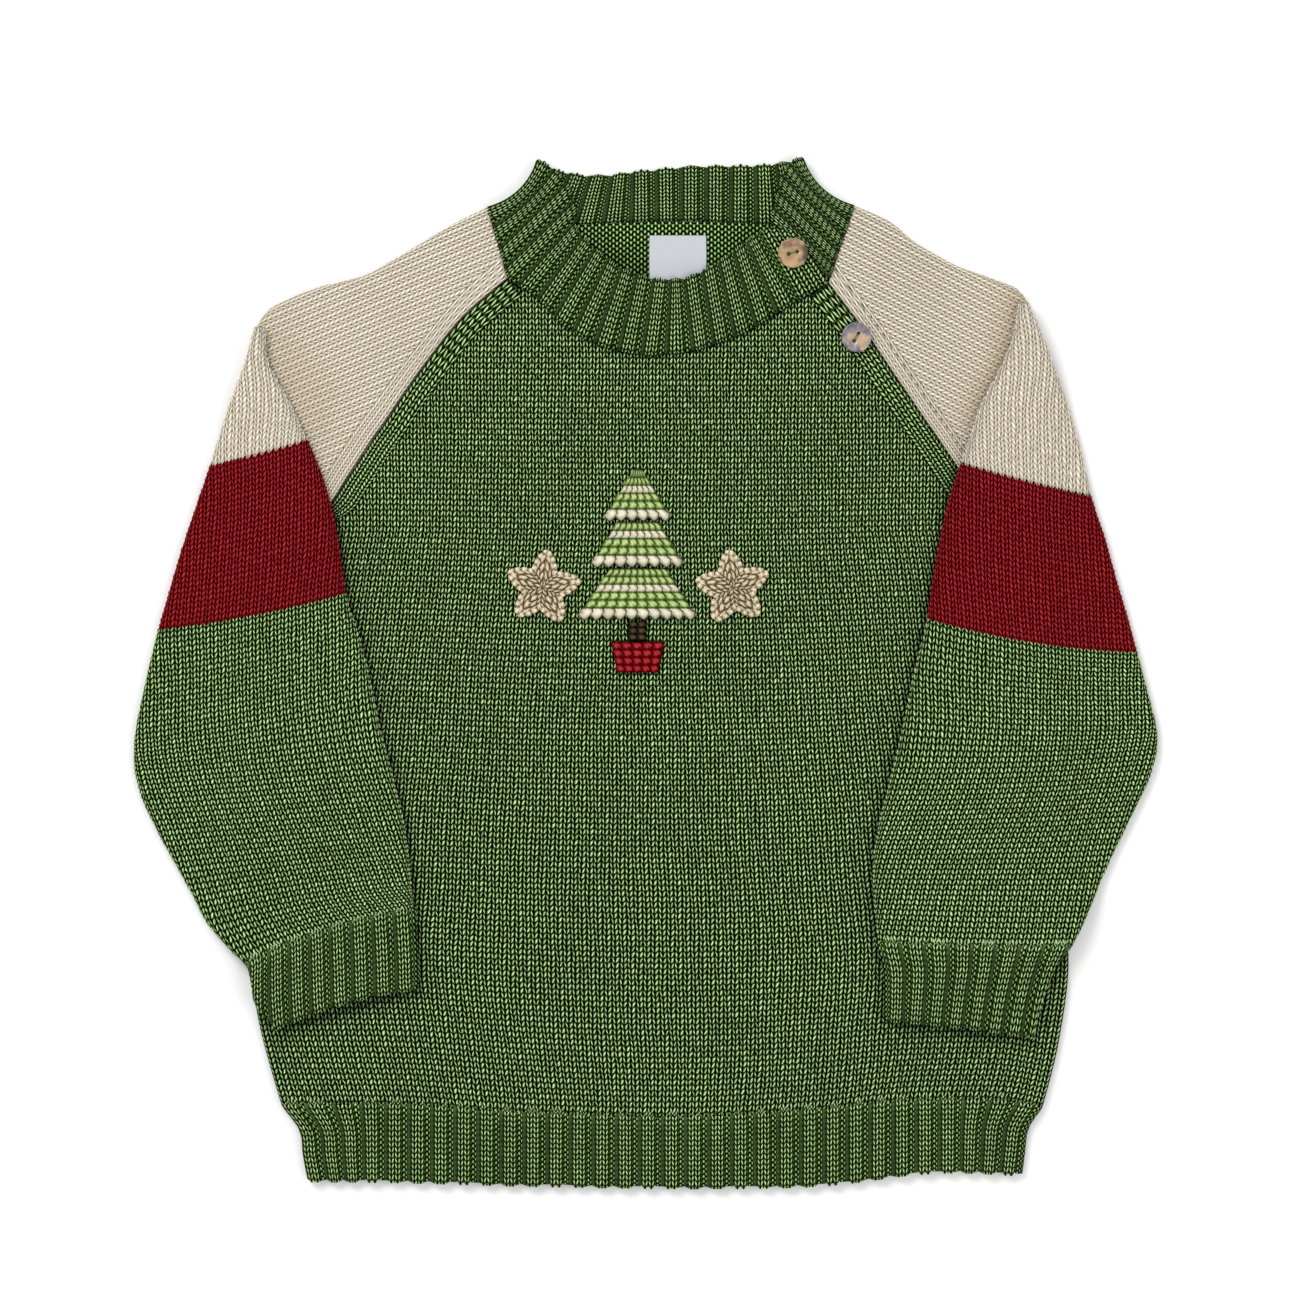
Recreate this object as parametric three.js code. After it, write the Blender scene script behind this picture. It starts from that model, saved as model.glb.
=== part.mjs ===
// A toddler's hand-knitted raglan sweater, laid flat on its back with both sleeves turned in
// over the front. +Z is up, +X is the wearer's left and +Y is towards the collar.
// Each knitted piece is a closed wall between an outside and an inside grid of points.
import * as THREE from "three";

// Driving sizes, in millimetres.
const WALL = 2.0; // plain knit, one layer
const LAYER_GAP = 0.4; // between two layers that lie on each other
const SLEEVE_GAP = 0.7; // between a sleeve and what it lies on
const SEAM_GAP = 0.4; // between two pieces that are sewn edge to edge
const RIB_GROOVE = 1.8; // rib wall at the bottom of a groove
const RIB_RAISE = 0.9; // a rib above its groove
const FOLD_RADIUS = 2.2; // outside of a folded edge
const RAMP = 14; // length of the slope where a sleeve comes off the body to the ground
const SLEEVE_PUFF = 1.2; // loft in the middle of a sleeve
const PUFF_WIDTH = 40; // width of a sleeve from which it has all its loft
const BUTTON = { radius: 5.8, thickness: 2.0, hole: 0.8, spacing: 3.2, bevel: 0.45 };
const LABEL = { left: 1.6, bottom: 153.2, width: 22, height: 17, thickness: 1.0 };
const APPLIQUE = { x: -3, y: 0, thickness: 1.6, bevel: 0.7 };
const STAR = { radius: 14.5, notch: 7, steps: 30 };
const SCALLOP = 1.6; // depth of the waves along the lower edge of a branch tier
const COLLAR_LEVEL = 3.75; // underside of the front collar, over the back collar and the label
const FLAP_RISE = 3.0; // the button flap above that, where it overlaps the shoulder collar
const HEM_GAP = 0.5; // between the hem rib and the panel above it
const COLLAR_GAP = 0.55; // between a collar piece and the neck edge
const HEM_RIBS = 32;
const HEM_MARGIN = 0.012; // share of the hem outside its first and last rib
const CUFF_RIBS = 7;
const RIB_START = 0.17; // where a rib begins in its share of the width
const COLLAR_FRONT_RIBS = 17;
const COLLAR_BACK_RIBS = 13;
const SHOULDER_RIBS = 5;
const COLLAR_MARGIN = 0.004; // share of a collar piece before its first rib
const COLLAR_BOW = 3.6; // how far the laid-out collar's two outer edges bow inwards
const BOW_FADE = 2.2; // stations from such an edge to where the bow has gone
const BUTTON_BAND = 0.085; // share of the front collar that is plain, at its flap
const BODY_TOP = 2 * WALL + LAYER_GAP;
const FLAP_FACE = COLLAR_LEVEL + FLAP_RISE + RIB_GROOVE; // the face that the collar button lies on
const MID = BODY_TOP / 2;

// The place of the origin: under the middle of the laid-out garment.
const CENTRE = { x: 0, y: -0.2 };

const COLOUR = {
  green: 0x4f7034,
  cream: 0xd9cfb6,
  red: 0x8a1018,
  tan: 0xbfa984,
  leaf: 0x86a94c,
  brown: 0x2b2018,
  white: 0xe9ebee,
  shell: 0x9a8672,
  coconut: 0x8c6a48,
};

// Outlines, as tables of [x, y].
const HEM_TOP = [
  [-141.6, -168.9], [-91.8, -169.1], [-45, -172.2], [21.3, -173.4], [71.2, -170.5],
  [91.1, -168.3], [115.2, -167.1], [141, -167.4], [154.5, -169.8],
];
const HEM_BOTTOM = [
  [-131.6, -198], [-91.8, -198.5], [-45, -199.8], [27.5, -200.7], [71.2, -199.5],
  [104.3, -195.4], [122, -194.6], [146.8, -195.8],
];
const SIDE_RIGHT = [
  [-141.6, -168.9], [-145.5, -156], [-150.9, -134.7], [-154, -110], [-149.5, -60], [-141, 0],
  [-131, 55.6],
];
const SIDE_LEFT = [
  [154.5, -169.8], [157.8, -157.8], [161, -143.7], [164.8, -111], [157.5, -60], [147, 0],
  [137, 55.6],
];
const HEM_SIDE_RIGHT = [[-131.6, -198], [-133.4, -193.2], [-134.6, -182.6], [-141.6, -168.9]];
const HEM_SIDE_LEFT = [[146.8, -195.8], [147.9, -189.7], [149.2, -180.8], [154.5, -169.8]];
const NECK_FRONT = [
  [-53.6, 153.5], [-45.8, 148.6], [-39.8, 143.3], [-32.6, 135.9], [-23.2, 129.5], [-11.9, 125.4],
  [-2.9, 123.8], [5.7, 123.6], [18.5, 125], [25.2, 127.1], [33.3, 129.9], [41.9, 134],
  [48.4, 137.9], [56.4, 142.9], [63, 146.8], [71.2, 151.5],
];
const NECK_BACK = [[-39.2, 173.4], [-17.7, 174.6], [10, 175.4], [36, 174.8], [60.3, 173.4]];

// Each sleeve cap is sewn to the front and the back panel and turns over at the shoulder.
// A row is one section across it: its edge at the front seam, at the fold and at the back seam.
const CAPS = {
  right: [
    { front: [-53.6, 153.5], fold: [-61.8, 181.2], back: [-39.2, 173.4] },
    { front: [-71.2, 138.3], fold: [-76, 174.1], back: [-52, 157] },
    { front: [-85.6, 120.3], fold: [-95.1, 162.8], back: [-68, 137] },
    { front: [-93.4, 109.4], fold: [-109.4, 155], back: [-82, 120] },
    { front: [-101.2, 97.7], fold: [-127.3, 150.3], back: [-93, 105.5] },
    { front: [-106.7, 89.9], fold: [-138.3, 146.1], back: [-101, 96] },
    { front: [-111.7, 82.1], fold: [-147.6, 140.8], back: [-108, 86] },
    { front: [-116.8, 74.3], fold: [-151.9, 133.4], back: [-114, 77.5] },
    { front: [-121.5, 66.9], fold: [-152, 121], back: [-120, 69] },
    { front: [-126, 61.4], fold: [-151.1, 94.6], back: [-126, 62] },
    { front: [-131, 55.6], fold: [-149.6, 67.3], back: [-131, 55.6] },
  ],
  left: [
    { front: [71.2, 151.5], fold: [81.5, 181.8], back: [60.3, 173.4] },
    { front: [84, 134.5], fold: [95.4, 175.7], back: [72, 158] },
    { front: [90, 126], fold: [104.1, 168.4], back: [80, 147] },
    { front: [96.5, 116.2], fold: [112.1, 163.6], back: [90, 133] },
    { front: [103, 106.7], fold: [120.3, 159.1], back: [98, 121] },
    { front: [109, 97.7], fold: [128.9, 155.8], back: [105, 110] },
    { front: [114, 90.5], fold: [138.3, 152.5], back: [112, 98] },
    { front: [119, 83], fold: [145.2, 149.2], back: [118, 88] },
    { front: [123, 77], fold: [149.4, 143], back: [124, 79] },
    { front: [128, 69], fold: [150, 128], back: [129, 70] },
    { front: [132.5, 62.5], fold: [149.6, 100.4], back: [133, 63] },
    { front: [137, 55.6], fold: [148.4, 71.2], back: [137, 55.6] },
  ],
};

// The sleeve below the turned-over fold is a flattened tube. A row is one section across it:
// its outer and inner edge, and how far its middle bows down the sleeve.
const SLEEVES = {
  right: {
    rows: [
      { outer: [-154.6, 127.7], inner: [-148.8, 127.7], bow: 0 },
      { outer: [-156, 121.6], inner: [-146.4, 121.1], bow: 0 },
      { outer: [-159.7, 111.3], inner: [-141, 110.6], bow: 0 },
      { outer: [-163.2, 102.5], inner: [-136.7, 102], bow: 0 },
      { outer: [-167.1, 90.3], inner: [-133.6, 95.7], bow: 0 },
      { outer: [-170.8, 78.7], inner: [-130.8, 89.5], bow: 0.5 },
      { outer: [-176.1, 63], inner: [-125.4, 76.2], bow: 0.8 },
      { outer: [-181.2, 47.8], inner: [-121.1, 61.4], bow: 1.1 },
      { outer: [-185.8, 32.2], inner: [-118.4, 45.8], bow: 1.4 },
      { outer: [-190.6, 15.4], inner: [-116, 29.6], bow: 1.6 },
      { outer: [-195.3, -4.1], inner: [-110.6, 12.7], bow: 1.6 },
      { outer: [-199.5, -26.3], inner: [-105.5, -8.8], bow: 1.2 },
      { outer: [-199.5, -37.2], inner: [-102, -25.5], bow: 0.8 },
      { outer: [-196.9, -48], inner: [-98.5, -38.8], bow: 0.4 },
      { outer: [-191.1, -60.8], inner: [-95, -52], bow: 0 },
      { outer: [-183.6, -74.7], inner: [-92.6, -65.3], bow: -0.6 },
      { outer: [-177.1, -86.4], inner: [-91.5, -74.7], bow: -1.2 },
      { outer: [-171.4, -97.3], inner: [-90.7, -82.9], bow: -1.8 },
      { outer: [-162.8, -107.1], inner: [-90.3, -88], bow: -2.4 },
      { outer: [-155.4, -114.5], inner: [-90.1, -92.6], bow: -2.8 },
      { outer: [-153.5, -121.5], inner: [-89.5, -102.8], bow: -2.8 },
      { outer: [-151.1, -129.3], inner: [-89.1, -112.9], bow: -2.8 },
      { outer: [-143.7, -139], inner: [-88.9, -123.4], bow: -2.8 },
    ],
    stripe: 5,
    lower: 9,
    cuff: 19,
  },
  left: {
    rows: [
      { outer: [151.5, 139], inner: [145.3, 139], bow: 0 },
      { outer: [155, 130.5], inner: [142.4, 130.5], bow: 0 },
      { outer: [160.1, 117.6], inner: [137.5, 118.4], bow: 0 },
      { outer: [164.8, 104.3], inner: [130.8, 105.5], bow: 0 },
      { outer: [169.5, 89.1], inner: [126.5, 93.8], bow: 0.4 },
      { outer: [174.5, 67.3], inner: [122.1, 80.5], bow: 0.8 },
      { outer: [179.6, 51.7], inner: [117.2, 65.3], bow: 1.4 },
      { outer: [183.9, 36.1], inner: [114.1, 50.5], bow: 1.9 },
      { outer: [188.2, 21.6], inner: [111.3, 34.9], bow: 2.3 },
      { outer: [192.3, 6.8], inner: [109, 19.7], bow: 2.7 },
      { outer: [196, -7.2], inner: [103.9, -1], bow: 2.4 },
      { outer: [199.5, -21.6], inner: [100.4, -18.5], bow: 2 },
      { outer: [199.7, -30.2], inner: [96.9, -33], bow: 1.6 },
      { outer: [196.4, -41.9], inner: [93.8, -45.8], bow: 1.2 },
      { outer: [190.5, -54.4], inner: [90.7, -58.3], bow: 0.8 },
      { outer: [184.2, -67.3], inner: [88.7, -69.2], bow: 0.5 },
      { outer: [178, -80.9], inner: [88.3, -80.9], bow: 0.4 },
      { outer: [173, -92.6], inner: [88.9, -91.5], bow: 0.4 },
      { outer: [165.6, -107.2], inner: [90.5, -105.5], bow: 0.8 },
      { outer: [159.3, -115.2], inner: [93, -115.2], bow: 0.4 },
      { outer: [153.9, -127.7], inner: [93.4, -125.8], bow: 0 },
      { outer: [150.1, -142], inner: [93.2, -135.3], bow: -0.8 },
    ],
    stripe: 5,
    lower: 9,
    cuff: 18,
  },
};

// The collar rib, as stations along it: a point on its seam and one on its free edge.
const COLLAR_FRONT = [
  { seam: [-61.8, 181.2], edge: [-42.3, 199.5] },
  { seam: [-59.4, 173], edge: [-35.5, 195.5] },
  { seam: [-56.5, 163.4], edge: [-30.5, 189] },
  { seam: [-53.6, 153.5], edge: [-27.8, 179] },
  { seam: [-45.8, 148.6], edge: [-26.7, 172] },
  { seam: [-39.8, 143.3], edge: [-23, 168] },
  { seam: [-32.6, 135.9], edge: [-17.5, 163] },
  { seam: [-23.2, 129.5], edge: [-11.5, 158] },
  { seam: [-11.9, 125.4], edge: [-4.5, 154.8] },
  { seam: [-2.9, 123.8], edge: [2, 153.3] },
  { seam: [5.7, 123.6], edge: [8.5, 152.5] },
  { seam: [18.5, 125], edge: [15, 153] },
  { seam: [25.2, 127.1], edge: [21, 155.5] },
  { seam: [33.3, 129.9], edge: [27.5, 159] },
  { seam: [41.9, 134], edge: [33.5, 163] },
  { seam: [48.4, 137.9], edge: [38, 166.6] },
  { seam: [56.4, 142.9], edge: [42, 169.3] },
  { seam: [63, 146.8], edge: [48, 171.6] },
  { seam: [70.9, 151.8], edge: [57.5, 171.2] },
];
const FLAP_START = 14.3; // station where the front collar begins to climb on to the shoulder
const FLAP_TOP = 16.4; // station where it has reached the button flap's height
const FLAP_SLOPE = 0.33; // share of the collar's height over which the flap climbs from its seam
const COLLAR_BACK = [
  { seam: [-61.8, 181.2], edge: [-42.3, 199.5] },
  { seam: [-50, 177.2], edge: [-36, 196.2] },
  { seam: [-39.2, 173.4], edge: [-30, 194.6] },
  { seam: [-28, 174], edge: [-22, 193.4] },
  { seam: [-17.7, 174.6], edge: [-14, 193.6] },
  { seam: [-2.9, 175.5], edge: [-2.9, 195.2] },
  { seam: [17.4, 175.8], edge: [17.4, 196.8] },
  { seam: [36, 174.8], edge: [36.1, 197.3] },
  { seam: [48, 174.1], edge: [47, 197.6] },
  { seam: [60.3, 173.4], edge: [54, 198.3] },
  { seam: [70, 177.4], edge: [58, 199.3] },
  { seam: [81.5, 181.8], edge: [61.4, 200.3] },
];
const SHOULDER_COLLAR = [
  { seam: [81.5, 181.8], edge: [61.4, 200.3] },
  { seam: [79.7, 176.5], edge: [56.5, 198.5] },
  { seam: [77.3, 169.5], edge: [53.5, 193] },
  { seam: [75.2, 163.4], edge: [51.8, 187] },
  { seam: [73.2, 157.5], edge: [50, 179.5] },
  { seam: [71.9, 153.6], edge: [48.3, 172.5] },
];

// How far out the body and the caps reach under a sleeve, as [y, x].
const SUPPORT = {
  right: [
    [150, -155], [67, -154], [30, -151], [0, -150], [-30, -152], [-60, -154.5], [-90, -157],
    [-112, -158.5], [-150, -158.5],
  ],
  left: [
    [150, 153.5], [67, 153.5], [30, 152.5], [0, 154], [-30, 158], [-60, 162.5], [-111, 169.5],
    [-150, 169.5],
  ],
};

// Soft ridges in the front layer: middle, direction, reach along and across, and height.
const FOLDS = [
  { x: -66, y: 60, turn: 58, along: 46, across: 9, height: 0.9 },
  { x: 70, y: 50, turn: 118, along: 48, across: 10, height: 0.9 },
  { x: -62, y: -62, turn: 84, along: 60, across: 10, height: 1.0 },
  { x: 62, y: -70, turn: 98, along: 58, across: 9, height: 1.0 },
  { x: 4, y: -112, turn: 88, along: 44, across: 12, height: 0.8 },
  { x: -104, y: -146, turn: 22, along: 26, across: 8, height: 0.9 },
  { x: 112, y: -148, turn: 160, along: 28, across: 8, height: 0.9 },
  { x: -102, y: 128, turn: 28, along: 24, across: 8, height: 0.8 },
  { x: 108, y: 132, turn: 130, along: 22, across: 8, height: 0.8 },
];

const clamp01 = (t) => Math.min(1, Math.max(0, t));
const smooth = (t) => clamp01(t) ** 2 * (3 - 2 * clamp01(t));
const mix = (a, b, t) => a + (b - a) * t;
const mixPoint = (a, b, t) => new THREE.Vector2().lerpVectors(a, b, t);

// A smooth curve through a table's points, in its own steps: t runs from 0 to the last row.
function smoothCurve(points) {
  const curve = new THREE.CatmullRomCurve3(points.map(([x, y]) => new THREE.Vector3(x, y, 0)));
  const last = points.length - 1;
  return (t) => {
    const p = curve.getPoint(clamp01(t / last));
    return new THREE.Vector2(p.x, p.y);
  };
}

// The same curve as a fine polyline.
function polyline(points, steps = 12) {
  const at = smoothCurve(points);
  return Array.from({ length: (points.length - 1) * steps + 1 }, (_, k) => at(k / steps));
}

// Straight runs between a table's points: both pieces at a seam then have the same line.
const toVectors = (points) => points.map(([x, y]) => new THREE.Vector2(x, y));

function straightCurve(points) {
  const line = toVectors(points);
  const last = line.length - 1;
  return (t) => {
    const k = Math.min(last - 1, Math.max(0, Math.floor(t)));
    return mixPoint(line[k], line[k + 1], t - k);
  };
}

// The point of a polyline where a rising measure, such as x or the length so far, has a value.
function pointWhere(line, measures, value) {
  let k = 1;
  while (k < line.length - 1 && measures[k] < value) k += 1;
  const span = measures[k] - measures[k - 1];
  return mixPoint(line[k - 1], line[k], clamp01((value - measures[k - 1]) / span));
}

function lengths(line) {
  const sums = [0];
  for (let k = 1; k < line.length; k += 1) sums.push(sums[k - 1] + line[k].distanceTo(line[k - 1]));
  return sums;
}

function byX(line) {
  const xs = line.map((p) => p.x);
  return (u) => pointWhere(line, xs, mix(xs[0], xs.at(-1), u));
}

function byLength(line) {
  const sums = lengths(line);
  return (v) => pointWhere(line, sums, sums.at(-1) * v);
}

// Height of the soft ridges: each is a bell along its length and across its width.
function lift(x, y) {
  let height = 0;
  for (const fold of FOLDS) {
    const turn = THREE.MathUtils.degToRad(fold.turn);
    const along = (x - fold.x) * Math.cos(turn) + (y - fold.y) * Math.sin(turn);
    const across = (y - fold.y) * Math.cos(turn) - (x - fold.x) * Math.sin(turn);
    height += fold.height * Math.exp(-((along / fold.along) ** 2) - (across / fold.across) ** 2);
  }
  return height;
}

// How far inside the edge of the garment's lower layers a point under a sleeve is, as 0 to 1.
function support(side, x, y) {
  const table = SUPPORT[side];
  let k = 1;
  while (k < table.length - 1 && table[k][0] > y) k += 1;
  const [[y0, x0], [y1, x1]] = [table[k - 1], table[k]];
  const edge = mix(x0, x1, clamp01((y - y0) / (y1 - y0)));
  const outside = side === "left" ? x - edge : edge - x;
  return 1 - smooth(outside / RAMP);
}

const sleeveBase = (side, x, y) => (BODY_TOP + SLEEVE_GAP + lift(x, y)) * support(side, x, y);

// A closed wall between two grids of points. A ring's last column meets its first.
function wall(outside, inside, ring = false) {
  const rows = outside.length;
  const columns = outside[0].length;
  const vertex = (side, i, j) => (side * rows + i) * columns + (j % columns);
  const faces = [];
  const quad = (a, b, c, d) => faces.push(a, b, c, a, c, d);
  const spans = ring ? columns : columns - 1;
  for (let i = 0; i < rows - 1; i += 1) {
    for (let j = 0; j < spans; j += 1) {
      quad(vertex(0, i, j), vertex(0, i, j + 1), vertex(0, i + 1, j + 1), vertex(0, i + 1, j));
      quad(vertex(1, i, j), vertex(1, i + 1, j), vertex(1, i + 1, j + 1), vertex(1, i, j + 1));
    }
    if (!ring) {
      quad(vertex(0, i, 0), vertex(0, i + 1, 0), vertex(1, i + 1, 0), vertex(1, i, 0));
      quad(vertex(0, i + 1, spans), vertex(0, i, spans), vertex(1, i, spans), vertex(1, i + 1, spans));
    }
  }
  for (let j = 0; j < spans; j += 1) {
    quad(vertex(0, 0, j + 1), vertex(0, 0, j), vertex(1, 0, j), vertex(1, 0, j + 1));
    const end = rows - 1;
    quad(vertex(0, end, j), vertex(0, end, j + 1), vertex(1, end, j + 1), vertex(1, end, j));
  }
  const geometry = new THREE.BufferGeometry();
  const points = [...outside.flat(), ...inside.flat()].flatMap((p) => p.toArray());
  geometry.setAttribute("position", new THREE.Float32BufferAttribute(points, 3));
  geometry.setIndex(faces);
  return turnOutwards(geometry);
}

// Turns the faces round if the solid's signed volume is negative.
function turnOutwards(geometry) {
  const index = geometry.index.array;
  const [a, b, c] = [new THREE.Vector3(), new THREE.Vector3(), new THREE.Vector3()];
  let volume = 0;
  for (let k = 0; k < index.length; k += 3) {
    [a, b, c].forEach((v, n) => v.fromBufferAttribute(geometry.attributes.position, index[k + n]));
    volume += a.dot(b.cross(c));
  }
  if (volume < 0)
    for (let k = 0; k < index.length; k += 3) [index[k], index[k + 1]] = [index[k + 1], index[k]];
  geometry.computeVertexNormals();
  return geometry;
}

const group = new THREE.Group();
group.position.set(-CENTRE.x, -CENTRE.y, 0);

function add(name, geometry, colour, roughness = 0.95) {
  const material = new THREE.MeshStandardMaterial({ color: colour, roughness, metalness: 0 });
  const mesh = new THREE.Mesh(geometry, material);
  mesh.name = name;
  group.add(mesh);
}

// A patch between four edge curves: each point blends the opposite edges and takes off the
// corners. The two side curves are first pulled on to the ends of the other two.
function patch(bottom, top, right, left) {
  const [a, b, c, d] = [bottom(0), bottom(1), top(0), top(1)];
  const pulled = (side, low, high) => {
    const [lowStep, highStep] = [low.clone().sub(side(0)), high.clone().sub(side(1))];
    return (v) => side(v).addScaledVector(lowStep, 1 - v).addScaledVector(highStep, v);
  };
  const [rightEdge, leftEdge] = [pulled(right, a, c), pulled(left, b, d)];
  return (u, v) => {
    const along = mixPoint(bottom(u), top(u), v);
    const across = mixPoint(rightEdge(v), leftEdge(v), u);
    return along.add(across).sub(mixPoint(mixPoint(a, b, u), mixPoint(c, d, u), v));
  };
}

// Columns for a panel whose sides fold round: a few close to each side, then even ones between.
const CURL_OUTSIDE = [0, 0.12, 0.45, 1].map((share) => share * FOLD_RADIUS);
const CURL_INSIDE = [0, 0.1, 0.25, 0.6].map((step) => WALL + step);

function columnsAcross(middles) {
  const near = CURL_OUTSIDE.map((distance, k) => ({ distance, inside: CURL_INSIDE[k], raise: 0 }));
  const opposite = (c) => ({ distance: -c.distance, inside: -c.inside, raise: 0, last: true });
  const far = near.map(opposite).reverse();
  return [...near, ...middles.map((m) => ({ share: m.share, raise: m.raise ?? 0 })), ...far];
}

// A front or back panel. Its outside faces up at the front and down at the back; both sides curl
// to the seam at mid height, along a quarter of an ellipse.
function panel({ plan, rows, middles, facing, base, top }) {
  const outside = [];
  const inside = [];
  const columns = columnsAcross(middles);
  for (let i = 0; i <= rows; i += 1) {
    const v = i / rows;
    const width = plan(0, v).distanceTo(plan(1, v));
    const shareOf = (distance, last) => (last ? 1 + distance / width : distance / width);
    const outsideRow = [];
    const insideRow = [];
    for (const column of columns) {
      const curled = column.distance !== undefined;
      const p = plan(curled ? shareOf(column.distance, column.last) : column.share, v);
      const q = plan(curled ? shareOf(column.inside, column.last) : column.share, v);
      const round = curled ? Math.sqrt(1 - (1 - Math.abs(column.distance) / FOLD_RADIUS) ** 2) : 1;
      const seam = MID + (facing * SEAM_GAP) / 2;
      const face = facing > 0 ? top(p.x, p.y) + column.raise : base(p.x, p.y);
      const back = facing > 0 ? base(q.x, q.y) : top(q.x, q.y);
      outsideRow.push(new THREE.Vector3(p.x, p.y, mix(seam, face, round)));
      const atRim = curled && Math.abs(column.inside) === WALL;
      insideRow.push(new THREE.Vector3(q.x, q.y, atRim ? seam : back));
    }
    outside.push(outsideRow);
    inside.push(insideRow);
  }
  return wall(outside, inside);
}

function evenly(count) {
  return Array.from({ length: count }, (_, k) => ({ share: (k + 1) / (count + 1), raise: 0 }));
}

// Two-by-two rib across a panel: each rib is a groove, a rise, its crest and a fall.
function ribColumns(from, to, ribs) {
  const profile = [
    { at: 0, raise: 0 },
    { at: 0.16, raise: 1 },
    { at: 0.5, raise: 1 },
    { at: 0.66, raise: 0 },
  ];
  const columns = [];
  for (let k = 0; k < ribs; k += 1)
    for (const { at, raise } of profile)
      columns.push({ share: mix(from, to, (k + at + RIB_START) / ribs), raise: raise * RIB_RAISE });
  return columns;
}

const frontBase = (x, y) => WALL + LAYER_GAP + lift(x, y);
const frontTop = (x, y) => BODY_TOP + lift(x, y);
const shiftY = (curve, distance) => (u) => curve(u).add(new THREE.Vector2(0, distance));

// Front and back panels, from the hem rib up to the underarms, the raglan seams and the neck.
// A panel has a column at each point of its top edge, so its seams match their neighbours'.
function topEdge(edge, neck) {
  const raglans = [CAPS.right, CAPS.left].map((cap) => cap.map((row) => row[edge]));
  return toVectors([...raglans[0].toReversed(), ...neck.slice(1, -1), ...raglans[1]]);
}

function addPanel(name, neck, options) {
  const top = topEdge(name, neck);
  const [from, to] = [top[0].x, top.at(-1).x];
  const plan = patch(
    shiftY(byX(polyline(HEM_TOP)), HEM_GAP / 2),
    byX(top),
    byLength(polyline(SIDE_RIGHT)),
    byLength(polyline(SIDE_LEFT)),
  );
  const middles = top.slice(1, -1).map((p) => ({ share: (p.x - from) / (to - from) }));
  add(name, panel({ plan, middles, ...options }), COLOUR.green);
}

function addBody() {
  addPanel("front", NECK_FRONT, { rows: 11, facing: 1, base: frontBase, top: frontTop });
  addPanel("back", NECK_BACK, { rows: 7, facing: -1, base: () => 0, top: () => WALL });
}

function addHem() {
  const plan = patch(
    byX(polyline(HEM_BOTTOM)),
    shiftY(byX(polyline(HEM_TOP)), -HEM_GAP / 2),
    byLength(polyline(HEM_SIDE_RIGHT)),
    byLength(polyline(HEM_SIDE_LEFT)),
  );
  const groove = (x, y) => frontBase(x, y) + RIB_GROOVE;
  const ribs = ribColumns(HEM_MARGIN, 1 - HEM_MARGIN, HEM_RIBS);
  const front = panel({ plan, rows: 2, middles: ribs, facing: 1, base: frontBase, top: groove });
  const back = panel({ plan, rows: 2, middles: evenly(12), facing: -1, base: () => 0, top: () => WALL });
  add("hem_front", front, COLOUR.green);
  add("hem_back", back, COLOUR.green);
}

// A sleeve cap: the front layer from its seam out to the fold, half a turn, and the back layer
// from the fold to the back seam.
function capSection(front, fold, back, top, base) {
  const out = fold.clone().sub(front).normalize();
  const home = back.clone().sub(fold).normalize();
  const frontCentre = fold.clone().addScaledVector(out, -FOLD_RADIUS);
  const backCentre = fold.clone().addScaledVector(home, FOLD_RADIUS);
  const flat = 6;
  const turn = 6;
  const section = (radius, frontHeight, backHeight) => {
    const points = [];
    const start = front.clone().addScaledVector(out, SEAM_GAP);
    const finish = back.clone().addScaledVector(home, -SEAM_GAP);
    for (let k = 0; k < flat; k += 1) {
      const p = mixPoint(start, frontCentre, k / flat);
      points.push(new THREE.Vector3(p.x, p.y, frontHeight(p.x, p.y)));
    }
    for (let k = 0; k <= turn; k += 1) {
      const angle = Math.PI * (0.5 - k / turn);
      const p = mixPoint(frontCentre, backCentre, k / turn);
      const direction = mixPoint(out, home.clone().negate(), k / turn).normalize();
      const raised = lift(p.x, p.y) * (1 - k / turn);
      p.addScaledVector(direction, radius * Math.cos(angle));
      points.push(new THREE.Vector3(p.x, p.y, MID + radius * Math.sin(angle) + raised));
    }
    for (let k = 1; k <= flat; k += 1) {
      const p = mixPoint(backCentre, finish, k / flat);
      points.push(new THREE.Vector3(p.x, p.y, backHeight));
    }
    return points;
  };
  return {
    outside: section(FOLD_RADIUS, top, 0),
    inside: section(FOLD_RADIUS - WALL, base, WALL),
  };
}

function addCap(side) {
  const table = CAPS[side];
  const outside = [];
  const inside = [];
  for (const row of table) {
    const [front, fold, back] = toVectors([row.front, row.fold, row.back]);
    const section = capSection(front, fold, back, frontTop, frontBase);
    outside.push(section.outside);
    inside.push(section.inside);
  }
  add(`${side}_cap`, wall(outside, inside), COLOUR.cream);
}

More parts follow.
